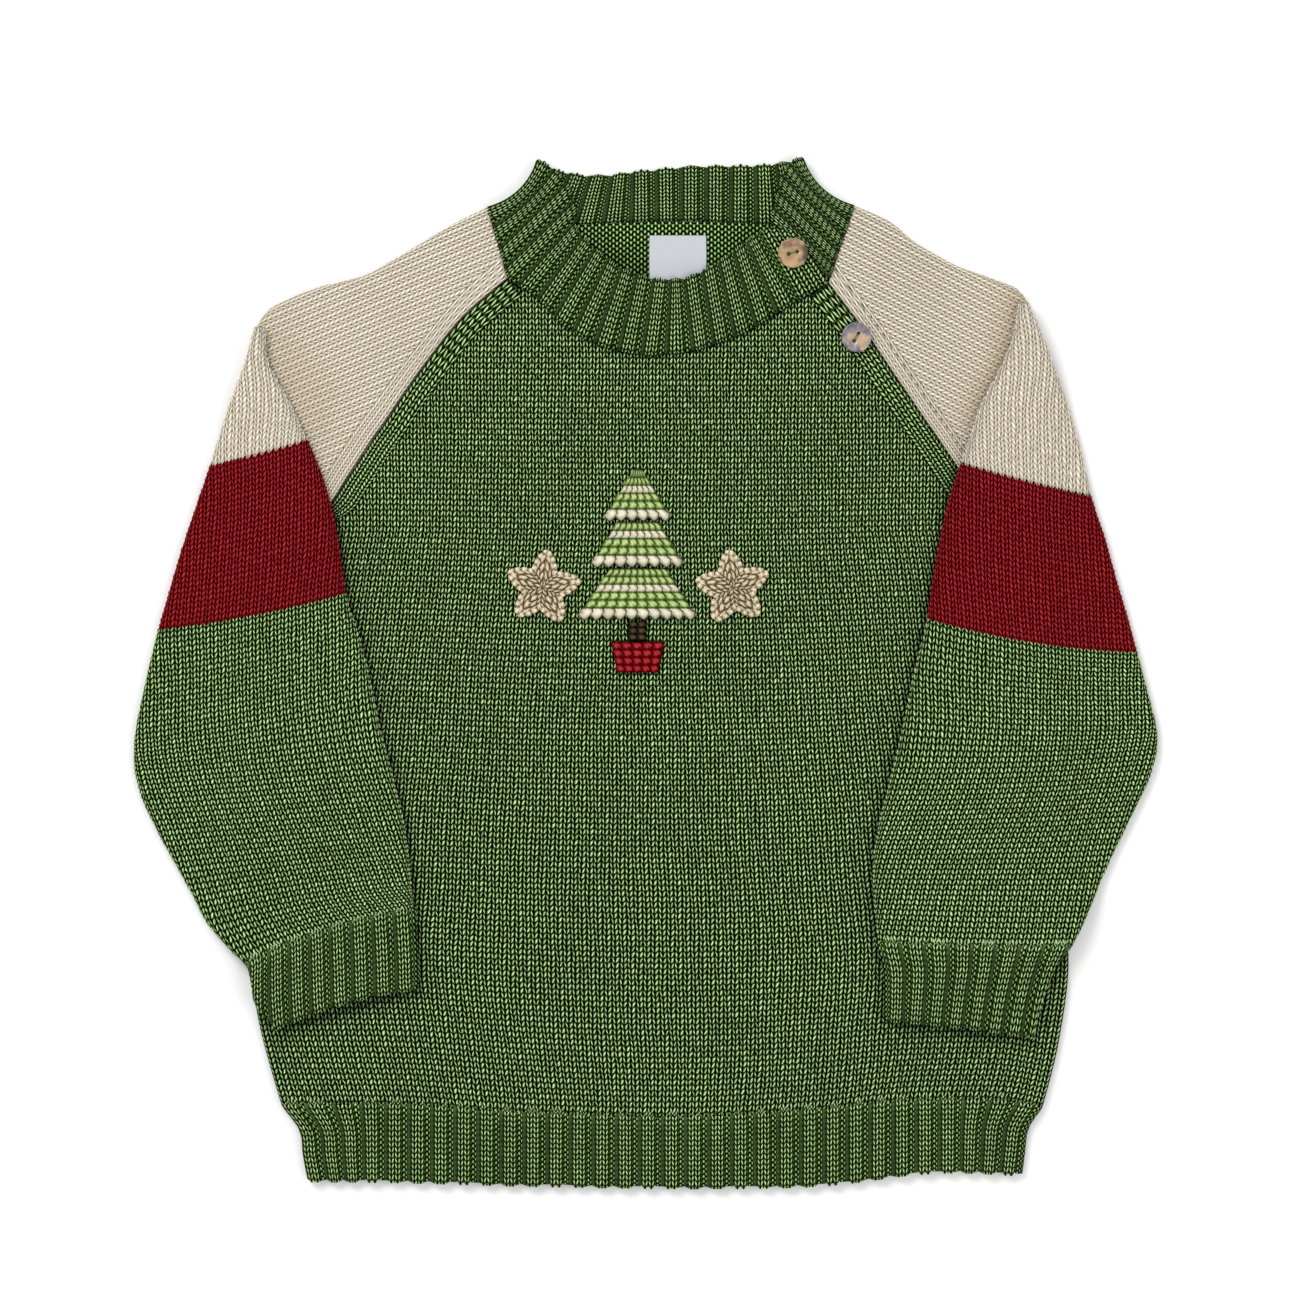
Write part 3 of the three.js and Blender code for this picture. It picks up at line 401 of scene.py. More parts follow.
def polygon_distance(x, y, corners):
    """Distance from each point to the nearest edge of a polygon."""
    ends = np.asarray(corners, float)
    starts = np.roll(ends, 1, axis=0)
    nearest = np.full(x.shape, 1e9)
    for (ax, ay), (bx, by) in zip(starts, ends):
        dx, dy = bx - ax, by - ay
        t = np.clip(((x - ax) * dx + (y - ay) * dy) / (dx * dx + dy * dy), 0, 1)
        nearest = np.minimum(nearest, np.hypot(x - ax - t * dx, y - ay - t * dy))
    return nearest


def sleeve_tables(side):
    """The outer and inner edge and the bow of a sleeve's sections, as separate tables."""
    outer, inner, bow = (column(SLEEVES[side], SLEEVE_COLUMNS, name) for name in SLEEVE_COLUMNS)
    return outer, inner, np.stack([np.arange(len(bow)), bow], axis=-1)


def sleeve_outline(side):
    """The corners of a sleeve as it lies: down its outer edge and back up its inner one."""
    outer, inner, _ = sleeve_tables(side)
    return np.concatenate([outer, inner[::-1]])


# Contact shade beside a sleeve: how dark it is at the sleeve's edge, and its reach.
CONTACT_SHADE = [(0.4, 1.5), (0.16, 6.0)]


def sleeve_shadow(x, y):
    """Contact shade of the two sleeves on what lies beside them: the sum of two bells of the
    distance to the sleeve."""
    shade = np.zeros(x.shape)
    for side in ("right", "left"):
        far = polygon_distance(x, y, sleeve_outline(side))
        shade = np.maximum(shade, sum(dark * bell(far, reach) for dark, reach in CONTACT_SHADE))
    return shade


# Height of the hem and of the cuffs, in millimetres and in courses.
RIB_HIGH = 28.0
RIB_COURSES = 14
# A rib runs on under the plain knit above it, by this share of its height, and sinks there.
RIB_TUCK = 0.11
RIB_SINK = 0.5
# How near its join a rib flattens out, and how much of its raise and of its shade it loses there.
JOIN_REACH = 2.6
JOIN_FLATTEN = 0.7
JOIN_LIGHTEN = 0.8
# Shade in the hollows of the ribs.
HOLLOW_SHADE = {"hem": 0.38, "cuff": 0.42, "collar": 0.42}


def rib_grid(wale, purl, courses, beyond):
    """Stitch rows of a rib and their place along it, from nought at its first edge to one at its
    other edge and a little beyond. Knit columns are moved along by the rise of their leg."""
    rows = np.arange(2 * courses + 1) / 2
    rise = np.where(purl < 0.5, leg_phase(wale, 0.0)[2], 0.5)
    v = rows[:, None] + rise[None, :]
    along = np.clip((v - 0.4) / RIB_COURSES, 0, 1 + beyond)
    return np.broadcast_to(wale, v.shape), v, along


def rib_rows(wale, purl):
    """The rows of a rib from its free edge to its join with the plain knit and under it, how far
    they sink there and how near the join they are."""
    u, v, along = rib_grid(wale, purl, RIB_COURSES + 2, RIB_TUCK)
    sink = RIB_SINK * np.clip((along - 1) / (0.6 * RIB_TUCK), 0, 1)
    near_join = bell(np.clip(1 - along, 0, 1) * RIB_HIGH, JOIN_REACH)
    return u, v, along, sink, near_join


def free_edge(raised, along):
    """The free edge of the hem or of a cuff: its ribs reach further than its hollows, by a bell
    of the distance to the edge, and a narrower bell rolls it down."""
    scallop = 0.9 * (raised[None, :] - 0.5) * bell(along * RIB_HIGH, 2.0)
    return scallop, 0.5 * bell(along * RIB_HIGH, 1.4)


def purl_height(u, v):
    """Height of the purl side: rows of arcs, a wale wide, that swing up and down."""
    along = np.mod(v + PURL_SWING * np.cos(2 * np.pi * u), 1.0)
    arc = PURL_FLOOR + (1 - PURL_FLOOR) * np.sin(np.pi * along)
    return arc * (1 - PURL_DIP + PURL_DIP * np.cos(4 * np.pi * u))


def rib_height(u, v, purl):
    """Height of the stitches of a rib, knit on its ribs and purl in its hollows."""
    return mix(knit_height(u, v), purl_height(u, v), purl[None, :])


def wale_columns(wales):
    """Column places in wales, four to a wale: its side, each leg's crest and its middle."""
    steps = np.array([0, LEFT_LEG / 2, LEFT_LEG, (1 + LEFT_LEG) / 2])
    return np.append((np.arange(wales)[:, None] + steps).ravel(), wales)


def stitch_grid(wales, courses):
    """Stitch coordinates of a grid that follows the legs: each column is moved along by the
    rise of its leg, so that rows run along crests and hollows."""
    u = wale_columns(wales)
    rise = leg_phase(u, 0.0)[2]
    rows = np.arange(2 * courses + 1) / 2
    return np.broadcast_to(u, (len(rows), len(u))), rows[:, None] + rise[None, :]


RIB_STEPS = [
    # place in the rib, its wale coordinate, how far it is raised, purl
    (0.00, 2.0, 0.05, 1.0),
    (0.06, 0.0, 0.35, 0.3),
    (0.13, 0.0 + LEFT_LEG / 2, 0.85, 0.0),
    (0.20, LEFT_LEG, 1.0, 0.0),
    (0.27, (1 + LEFT_LEG) / 2, 1.0, 0.0),
    (0.34, 1.0, 1.0, 0.0),
    (0.41, 1 + LEFT_LEG / 2, 1.0, 0.0),
    (0.48, 1 + LEFT_LEG, 1.0, 0.0),
    (0.55, 1 + (1 + LEFT_LEG) / 2, 0.85, 0.0),
    (0.62, 2.0, 0.35, 0.3),
    (0.69, 2.3, 0.05, 1.0),
    (0.80, 2.7, 0.0, 1.0),
    (0.90, 3.3, 0.0, 1.0),
]


def rib_columns(ribs, stop=1.0, plain_wales=0):
    """Columns of a two-by-two rib: two raised knit wales and a purl hollow. Gives the share of
    the width, the wale coordinate, the raise and the purl mark of each column. The ribs end at
    the share stop, with plain wales after them, and the last column is repeated until the inside
    grid fits."""
    step = np.array(RIB_STEPS)
    count = np.arange(ribs)[:, None]
    share = stop * ((count + step[:, 0]) / ribs).ravel()
    wale = (4 * count + step[:, 1]).ravel()
    raised = np.tile(step[:, 2], ribs)
    purl = np.tile(step[:, 3], ribs)
    ends = [(stop, 4.0 * ribs, 0.05, 1.0)]
    if plain_wales:
        plain = wale_columns(plain_wales)
        ends = [(mix(stop, 1.0, w / plain_wales), 4.0 * ribs + w, 0.8, 0.0) for w in plain]
    share, wale, raised, purl = (
        np.append(a, [e[n] for e in ends]) for n, a in enumerate((share, wale, raised, purl))
    )
    pad = -(len(share) - 1) % GRID_STEP
    return tuple(np.append(a, np.repeat(a[-1], pad)) for a in (share, wale, raised, purl))


def grid_quads(rows, columns, start=0, turned=False):
    """Quads of a grid of points that is stored row by row."""
    index = start + np.arange(rows * columns).reshape(rows, columns)
    quads = np.stack([index[:-1, :-1], index[:-1, 1:], index[1:, 1:], index[1:, :-1]], axis=-1)
    quads = quads.reshape(-1, 4)
    return quads[:, ::-1] if turned else quads


def rim_faces(fine, coarse):
    """Faces between a fine edge and a coarse one: each takes several fine points and two coarse."""
    count = len(coarse) - 1
    step = (len(fine) - 1) // count
    runs = np.arange(count)[:, None] * step + np.arange(step + 1)
    ends = np.stack([coarse[1:], coarse[:-1]], axis=-1)
    return np.concatenate([fine[runs], ends], axis=1)


def shell(top, under, uv, marks=None, skip=()):
    """A closed shell of a fine outside grid and a coarse inside grid, whose rows and columns are
    evenly picked from the fine one. Gives points, faces, stitch coordinates and marks; skip names
    the edges left open."""
    rows, columns = top.shape[:2]
    low_rows, low_columns = under.shape[:2]
    step_rows = (rows - 1) // (low_rows - 1)
    step_columns = (columns - 1) // (low_columns - 1)
    index = np.arange(rows * columns).reshape(rows, columns)
    low = rows * columns + np.arange(low_rows * low_columns).reshape(low_rows, low_columns)
    faces = [grid_quads(rows, columns), grid_quads(low_rows, low_columns, rows * columns, True)]
    edges = {
        "first_row": (index[0], low[0]),
        "last_row": (index[-1], low[-1]),
        "first_column": (index[:, 0], low[:, 0]),
        "last_column": (index[:, -1], low[:, -1]),
    }
    for name, (fine, coarse) in edges.items():
        if name not in skip:
            faces.append(rim_faces(fine, coarse))
    pick = (slice(None, None, step_rows), slice(None, None, step_columns))
    points = np.concatenate([top.reshape(-1, 3), under.reshape(-1, 3)])
    coordinates = np.concatenate([uv.reshape(-1, 2), uv[pick].reshape(-1, 2)])
    values = {}
    for name in ("shade", "purl", "tint"):
        mark = np.zeros((rows, columns)) if marks is None or name not in marks else marks[name]
        mark = np.broadcast_to(mark, (rows, columns))
        values[name] = np.concatenate([mark.ravel(), mark[pick].ravel()])
    return {"points": points, "faces": faces, "uv": coordinates, "marks": values}


def join_shells(parts):
    """One set of arrays from several shells."""
    faces, start = [], 0
    for part in parts:
        faces += [f + start for f in part["faces"]]
        start += len(part["points"])
    return {
        "points": np.concatenate([p["points"] for p in parts]),
        "faces": faces,
        "uv": np.concatenate([p["uv"] for p in parts]),
        "marks": {
            name: np.concatenate([p["marks"][name] for p in parts]) for name in parts[0]["marks"]
        },
    }


# Distances in metres below which points are joined, on knitted pieces and on buttons.
WELD = 2e-6
BUTTON_WELD = 1e-6


def close_mesh(mesh, distance):
    """Joins the points of a mesh that lie closer than the distance, where that isn't nought, and
    turns its faces outwards."""
    work = bmesh.new()
    work.from_mesh(mesh)
    if distance:
        bmesh.ops.remove_doubles(work, verts=work.verts, dist=distance)
    bmesh.ops.recalc_face_normals(work, faces=work.faces)
    work.to_mesh(mesh)
    work.free()


def add_object(name, data):
    """A new object in the scene, at the origin."""
    made = bpy.data.objects.new(name, data)
    bpy.context.scene.collection.objects.link(made)
    return made


def make_object(name, data, material, weld=True):
    """Puts arrays in millimetres into a mesh in metres, joins its doubles and turns it outwards."""
    mesh = bpy.data.meshes.new(name)
    sizes = np.concatenate([np.full(len(f), f.shape[1]) for f in data["faces"]])
    corners = np.concatenate([f.ravel() for f in data["faces"]]).astype(np.int32)
    mesh.vertices.add(len(data["points"]))
    mesh.vertices.foreach_set("co", ((data["points"] - CENTRE) * MM).astype(np.float32).ravel())
    mesh.loops.add(len(corners))
    mesh.loops.foreach_set("vertex_index", corners)
    mesh.polygons.add(len(sizes))
    starts = np.concatenate([[0], np.cumsum(sizes)[:-1]]).astype(np.int32)
    mesh.polygons.foreach_set("loop_start", starts)
    mesh.update(calc_edges=True)
    layer = mesh.uv_layers.new(name="stitches")
    layer.data.foreach_set("uv", data["uv"][corners].astype(np.float32).ravel())
    for mark, values in data["marks"].items():
        attribute = mesh.attributes.new(mark, "FLOAT", "POINT")
        attribute.data.foreach_set("value", values.astype(np.float32))
    mesh.validate()
    close_mesh(mesh, WELD if weld else 0.0)
    mesh.shade_smooth()
    mesh.materials.append(material)
    return add_object(name, mesh)


def dress(piece, *nodes, slot):
    """Makes a piece ride with the garment and stand for its solids. The slot is not used."""
    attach(piece, "root")
    if nodes:
        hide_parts(*nodes)


# The least side of a flat cut, in metres.
SMALLEST_CUT = 0.01


def declare_cloth(piece, cut=None):
    """Reads the points and the face areas of a piece of cloth, and does nothing more with them.
    The cut is not used. Its area is half its surface, less a tenth for its stitches, and between
    0.3 of its box and all of it."""
    corners = np.empty(3 * len(piece.data.vertices), np.float32)
    piece.data.vertices.foreach_get("co", corners)
    corners = corners.reshape(-1, 3).astype(float)
    areas = np.empty(len(piece.data.polygons), np.float32)
    piece.data.polygons.foreach_get("area", areas)


# Materials


def new_group(name, inputs, outputs):
    """A shader node group with named sockets."""
    group = bpy.data.node_groups.new(name, "ShaderNodeTree")
    for label, kind, value in inputs:
        socket = group.interface.new_socket(label, in_out="INPUT", socket_type=kind)
        if value is not None:
            socket.default_value = value
    for label, kind in outputs:
        group.interface.new_socket(label, in_out="OUTPUT", socket_type=kind)
    return group, group.nodes.new("NodeGroupInput"), group.nodes.new("NodeGroupOutput")


class Wiring:
    """Short ways to add nodes to one tree."""

    def __init__(self, tree):
        self.tree = tree

    def node(self, kind, **settings):
        made = self.tree.nodes.new(kind)
        for key, value in settings.items():
            setattr(made, key, value)
        return made

    def put(self, socket, value):
        if hasattr(value, "is_output"):
            self.tree.links.new(value, socket)
        else:
            socket.default_value = value

    def math(self, operation, *values):
        made = self.node("ShaderNodeMath", operation=operation)
        for socket, value in zip(made.inputs, values):
            self.put(socket, value)
        return made.outputs[0]

    def mix(self, factor, first, second):
        made = self.node("ShaderNodeMix", data_type="FLOAT")
        for number, value in ((0, factor), (2, first), (3, second)):
            self.put(made.inputs[number], value)
        return made.outputs[0]

    def blend(self, factor, first, second, blend_type="MIX"):
        made = self.node("ShaderNodeMix", data_type="RGBA", blend_type=blend_type)
        for number, value in ((0, factor), (6, first), (7, second)):
            self.put(made.inputs[number], value)
        return made.outputs[2]

    def scale(self, value, low, high, to_low=0.0, to_high=1.0):
        made = self.node("ShaderNodeMapRange", clamp=True)
        for socket, amount in zip(made.inputs, (value, low, high, to_low, to_high)):
            self.put(socket, amount)
        return made.outputs[0]

    def noise(self, vector, scale, detail=2.0):
        made = self.node("ShaderNodeTexNoise")
        self.put(made.inputs["Vector"], vector)
        self.put(made.inputs["Scale"], scale)
        self.put(made.inputs["Detail"], detail)
        return made.outputs["Fac"]


def half_sine(w, value):
    """Sine of pi times the value."""
    return w.math("SINE", w.math("MULTIPLY", value, math.pi))


def knit_group():
    """Stitch pattern from stitch coordinates: the height, a mask of painted shade in the gaps between
    the legs, the deepest painted shade in dots where gaps cross and a random value for each leg.
    The same formula shapes the mesh."""
    group, source, target = new_group(
        "Knit stitch",
        [("Stitches", "NodeSocketVector", None), ("Purl", "NodeSocketFloat", 0.0)],
        [
            ("Height", "NodeSocketFloat"),
            ("Gap", "NodeSocketFloat"),
            ("Dot", "NodeSocketFloat"),
            ("Random", "NodeSocketFloat"),
        ],
    )
    w = Wiring(group)
    split = w.node("ShaderNodeSeparateXYZ")
    w.put(split.inputs[0], source.outputs["Stitches"])
    u, v = split.outputs[0], split.outputs[1]
    f = w.math("FRACT", u)
    left = w.math("LESS_THAN", f, LEFT_LEG)
    on_left = w.math("DIVIDE", f, LEFT_LEG)
    on_right = w.math("DIVIDE", w.math("SUBTRACT", f, LEFT_LEG), 1 - LEFT_LEG)
    across = w.mix(left, on_right, on_left)
    outward = w.mix(left, on_right, w.math("SUBTRACT", 1.0, on_left))
    rising = w.math("ADD", w.math("SUBTRACT", v, w.math("MULTIPLY", outward, LEG_RISE)), 0.5)
    along = w.math("FRACT", rising)
    ridge = w.math("POWER", half_sine(w, across), LEG_POWER)
    bead = half_sine(w, along)
    knit = w.math("MULTIPLY", ridge, w.math("MULTIPLY_ADD", bead, 1 - LEG_FLOOR, LEG_FLOOR))
    ply_phase = w.math("MULTIPLY_ADD", across, 1.4, w.math("MULTIPLY", along, 2.2))
    ply = w.math("SINE", w.math("MULTIPLY", ply_phase, 2 * math.pi))
    knit = w.math("MULTIPLY_ADD", w.math("MULTIPLY", ply, knit), 0.09, knit)
    swing = w.math("COSINE", w.math("MULTIPLY", u, 2 * math.pi))
    purl_along = w.math("FRACT", w.math("MULTIPLY_ADD", swing, PURL_SWING, v))
    lobes = w.math("COSINE", w.math("MULTIPLY", u, 4 * math.pi))
    purl = w.math(
        "MULTIPLY",
        w.math("MULTIPLY_ADD", half_sine(w, purl_along), 1 - PURL_FLOOR, PURL_FLOOR),
        w.math("MULTIPLY_ADD", lobes, PURL_DIP, 1 - PURL_DIP),
    )
    height = w.mix(source.outputs["Purl"], knit, purl)
    w.put(target.inputs["Height"], height)
    # Painted shade darkens the gaps as the height falls from the first number to the second.
    beside = w.scale(ridge, 0.94, 0.54)
    between = w.scale(bead, 0.8, 0.28)
    knit_gap = w.math("MAXIMUM", beside, w.math("MULTIPLY", between, 0.9))
    purl_gap = w.scale(purl, 0.86, 0.48)
    w.put(target.inputs["Gap"], w.mix(source.outputs["Purl"], knit_gap, purl_gap))
    # Painted shade is deepest in the dots where the gaps cross.
    crossing = w.math("MULTIPLY", beside, between)
    w.put(target.inputs["Dot"], w.mix(source.outputs["Purl"], crossing, 0.0))
    cell = w.node("ShaderNodeCombineXYZ")
    w.put(cell.inputs[0], w.math("MULTIPLY_ADD", w.math("FLOOR", u), 2.0, left))
    w.put(cell.inputs[1], w.math("FLOOR", rising))
    random = w.node("ShaderNodeTexWhiteNoise", noise_dimensions="2D")
    w.put(random.inputs["Vector"], cell.outputs[0])
    w.put(target.inputs["Random"], random.outputs["Value"])
    return group


def crochet_group():
    """Single crochet from stitch coordinates: each stitch is a round knot with two strands that
    lean together, a stitch wide and a row high."""
    group, source, target = new_group(
        "Crochet stitch",
        [("Stitches", "NodeSocketVector", None)],
        [("Height", "NodeSocketFloat"), ("Gap", "NodeSocketFloat"), ("Random", "NodeSocketFloat")],
    )
    w = Wiring(group)
    split = w.node("ShaderNodeSeparateXYZ")
    w.put(split.inputs[0], source.outputs["Stitches"])
    u, v = split.outputs[0], split.outputs[1]
    from_middle = w.math("ABSOLUTE", w.math("SUBTRACT", w.math("FRACT", v), 0.5))
    lean = w.math("MULTIPLY", from_middle, KNOT_LEAN)
    across = w.math("FRACT", w.math("ADD", u, lean))
    along = w.math("FRACT", v)
    knot = w.math(
        "MULTIPLY",
        w.math("POWER", half_sine(w, across), KNOT_POWER),
        w.math("POWER", half_sine(w, along), KNOT_POWER),
    )
    strand_phase = w.math("MULTIPLY_ADD", across, 2.0, w.math("MULTIPLY", along, 1.2))
    strand = w.math("SINE", w.math("MULTIPLY", strand_phase, 2 * math.pi))
    height = w.math("MULTIPLY_ADD", w.math("MULTIPLY", strand, knot), 0.22, knot)
    w.put(target.inputs["Height"], height)
    # Painted shade darkens the gaps between the knots.
    w.put(target.inputs["Gap"], w.scale(height, 0.55, 0.1))
    cell = w.node("ShaderNodeCombineXYZ")
    w.put(cell.inputs[0], w.math("FLOOR", w.math("ADD", u, lean)))
    w.put(cell.inputs[1], w.math("FLOOR", v))
    random = w.node("ShaderNodeTexWhiteNoise", noise_dimensions="2D")
    w.put(random.inputs["Vector"], cell.outputs[0])
    w.put(target.inputs["Random"], random.outputs["Value"])
    return group


# Noise scales of the wool, on Object coordinates in metres: fibres, patches and the whole cloth.
FIBRE_SCALE = 2600.0
PATCH_SCALE = 160.0
CLOTH_SCALE = 22.0


def heather_group():
    """Heathered wool: fine fibres, a tone for each leg and slow changes over the cloth, as a
    factor to multiply a colour with."""
    group, source, target = new_group(
        "Heathered wool",
        [
            ("Random", "NodeSocketFloat", 0.5),
            ("Leg tone", "NodeSocketFloat", 0.25),
            ("Fibre", "NodeSocketFloat", 0.3),
            ("Cloth", "NodeSocketFloat", 0.15),
        ],
        [("Tone", "NodeSocketFloat"), ("Fuzz", "NodeSocketFloat")],
    )
    w = Wiring(group)
    place = w.node("ShaderNodeTexCoord").outputs["Object"]
    fibre = w.noise(place, FIBRE_SCALE, 3.0)
    cloth = w.noise(place, CLOTH_SCALE, 3.0)
    patch = w.noise(place, PATCH_SCALE, 2.0)

    def swing(value, amount):
        return w.math("MULTIPLY", w.math("SUBTRACT", value, 0.5), amount)

    total = w.math("ADD", 1.0, swing(source.outputs["Random"], source.outputs["Leg tone"]))
    total = w.math("ADD", total, swing(fibre, w.math("MULTIPLY", source.outputs["Fibre"], 2.0)))
    total = w.math("ADD", total, swing(cloth, w.math("MULTIPLY", source.outputs["Cloth"], 2.0)))
    total = w.math("ADD", total, swing(patch, source.outputs["Cloth"]))
    w.put(target.inputs["Tone"], total)
    w.put(target.inputs["Fuzz"], fibre)
    return group


def linear(colour):
    """A colour of 0 to 255 steps, as linear light."""
    value = np.array(colour) / 255.0
    bright = np.where(value <= 0.04045, value / 12.92, ((value + 0.055) / 1.055) ** 2.4)
    return (*bright.tolist(), 1.0)


YARNS = {
    # painted gap shade, body colour and painted crest highlight of the yarn, then tint colour
    "green": ((0, 14, 0), (22, 62, 0), (206, 227, 180), (66, 92, 34)),
    "cream": ((196, 184, 163), (222, 214, 196), (244, 238, 224), (206, 180, 146)),
    "red": ((82, 0, 4), (122, 8, 16), (170, 54, 58), (98, 8, 16)),
    "leaf": ((40, 62, 14), (124, 152, 74), (196, 212, 148), (222, 214, 190)),
    "tan": ((76, 58, 34), (176, 158, 122), (228, 214, 186), (150, 128, 90)),
    "brown": ((10, 8, 4), (48, 38, 26), (84, 68, 52), (40, 30, 20)),
}
# The colour of the painted shade in the deepest dots of a knitted yarn, where its gaps cross.
DOT_SHADES = {"green": (0, 5, 0), "cream": (126, 108, 80), "red": (44, 0, 2)}
# The colour part of the way up the painted highlight from body to crest, of a yarn whose flanks are a
# fuller colour.
FLANKS = {"green": (104, 150, 50)}
# The stitch heights where the body colour ends and the painted highlight starts, and where the
# flanks have their colour.
BODY_HEIGHT = 0.45
FLANK_HEIGHT = 0.72
# How uneven a yarn's tone is, from leg to leg and in its fibres, and then over the whole cloth.
UNEVEN = {"green": (0.45, 0.45), "cream": (0.1, 0.12), "red": (0.25, 0.3)}
CROCHET_UNEVEN = (0.15, 0.25)
CLOTH_UNEVEN = 0.15
# Depth of the drawn stitches in millimetres, and the fibres' part of it.
KNIT_BUMP = 0.7
CROCHET_BUMP = 0.9
FIBRE_BUMP = 0.3


def yarn_material(name, yarn, pattern, heather, relief, uneven):
    """Wool of one yarn: pattern is the group that draws its stitches."""
    material = bpy.data.materials.new(name)
    material.use_nodes = True
    w = Wiring(material.node_tree)
    shader = material.node_tree.nodes["Principled BSDF"]
    gap, body, crest, tint = (linear(c) for c in YARNS[yarn])
    stitches = w.node("ShaderNodeUVMap", uv_map="stitches").outputs[0]
    group = w.node("ShaderNodeGroup", node_tree=pattern)
    w.put(group.inputs["Stitches"], stitches)
    if "Purl" in group.inputs:
        w.put(group.inputs["Purl"], w.node("ShaderNodeAttribute", attribute_name="purl").outputs["Fac"])
    tone = w.node("ShaderNodeGroup", node_tree=heather)
    w.put(tone.inputs["Random"], group.outputs["Random"])
    for label, value in zip(("Leg tone", "Fibre", "Cloth"), (*uneven, CLOTH_UNEVEN)):
        tone.inputs[label].default_value = value
    shade = w.node("ShaderNodeAttribute", attribute_name="shade").outputs["Fac"]
    tinted = w.node("ShaderNodeAttribute", attribute_name="tint").outputs["Fac"]
    rise = group.outputs["Height"]
    # Painted highlight: the higher a stitch stands, the nearer its colour is to the crest colour.
    if yarn in FLANKS:
        flank = w.blend(w.scale(rise, BODY_HEIGHT, FLANK_HEIGHT), body, linear(FLANKS[yarn]))
        colour = w.blend(w.scale(rise, FLANK_HEIGHT, 1.0), flank, crest)
    else:
        colour = w.blend(w.scale(rise, BODY_HEIGHT, 1.0), body, crest)
    colour = w.blend(tinted, colour, tint)
    colour = w.blend(1.0, colour, tone.outputs["Tone"], "MULTIPLY")
    # Painted shade: the gaps take the gap colour, and the dots where they cross take a darker one.
    colour = w.blend(group.outputs["Gap"], colour, gap)
    if "Dot" in group.outputs:
        colour = w.blend(group.outputs["Dot"], colour, linear(DOT_SHADES[yarn]))
    dark = w.math("SUBTRACT", 1.0, shade)
    colour = w.blend(1.0, colour, dark, "MULTIPLY")
    w.put(shader.inputs["Base Color"], colour)
    shader.inputs["Roughness"].default_value = 0.9
    shader.inputs["Specular IOR Level"].default_value = 0.0
    bump = w.node("ShaderNodeBump")
    bump.inputs["Strength"].default_value = 0.9
    bump.inputs["Distance"].default_value = relief * MM
    rough = w.math("MULTIPLY_ADD", tone.outputs["Fuzz"], FIBRE_BUMP, group.outputs["Height"])
    w.put(bump.inputs["Height"], rough)
    w.put(shader.inputs["Normal"], bump.outputs["Normal"])
    return material


MATERIALS = {}


def make_materials():
    """Every yarn's material, with the two stitch groups and the wool group."""
    knit, crochet, heather = knit_group(), crochet_group(), heather_group()
    for yarn, uneven in UNEVEN.items():
        MATERIALS[yarn] = yarn_material(f"{yarn} knit", yarn, knit, heather, KNIT_BUMP, uneven)
    for yarn in ("leaf", "tan", "brown", "red"):
        MATERIALS[f"{yarn}_crochet"] = yarn_material(
            f"{yarn} crochet", yarn, crochet, heather, CROCHET_BUMP, CROCHET_UNEVEN
        )


# Knitted pieces

# The band of wales along a raglan seam and a cap's front seam: its wales and its width, and the
# length over which it opens out from the underarm.
BAND_WALES = 3
BAND = 8.6
BAND_TAPER = 22.0
BAND_LEAST = 0.12
# Seams dip and shade the stitches beside them, and no shade is darker than the last number.
SEAM_REACH = 1.6
SEAM_DROP = 0.5
BAND_REACH = 1.3
SEAM_SHADE = 0.2
DARKEST = 0.85


def rail_inside(side):
    """The line where the front's upright wales meet the band of wales along the raglan seam: the
    seam moved in by three wales, drawn together at the underarm."""
    seam = polyline(column(CAPS[side], CAP_COLUMNS, "front"))
    step = np.gradient(seam, axis=0)
    step /= np.linalg.norm(step, axis=1, keepdims=True)
    inward = np.stack([-step[:, 1], step[:, 0]], axis=1) * (1 if side == "right" else -1)
    far = lengths(seam)
    reach = BAND * smooth((far[-1] - far) / BAND_TAPER + BAND_LEAST)
    return seam, seam + inward * reach[:, None]


def front_edge(x):
    """The upper limit of the front's upright wales at each x."""
    right = rail_inside("right")[1][::-1]
    left = rail_inside("left")[1]
    neck = polyline(NECK_FRONT)
    middle = neck[(neck[:, 0] > right[-1, 0]) & (neck[:, 0] < left[0, 0])]
    line = np.concatenate([right, middle, left])
    order = np.argsort(line[:, 0])
    return np.interp(x, line[order, 0], line[order, 1])


def curl(x, y, z):
    """Rolls a layer to the side seam along a quarter circle, over a fold's radius."""
    right, left = x_at(SIDE_RIGHT, y), x_at(SIDE_LEFT, y)
    near = np.clip(np.minimum(x - right, left - x) / FOLD_RADIUS, 0, 1)
    return mix(MID, z, np.sqrt(1 - (1 - near) ** 2))


# The front's wales, the width of one, its courses and the y that they would reach uncut.
FRONT_WALES = 102
FRONT_WALE = 2.95
FRONT_COURSES = 152
FRONT_HIGH = 155.0


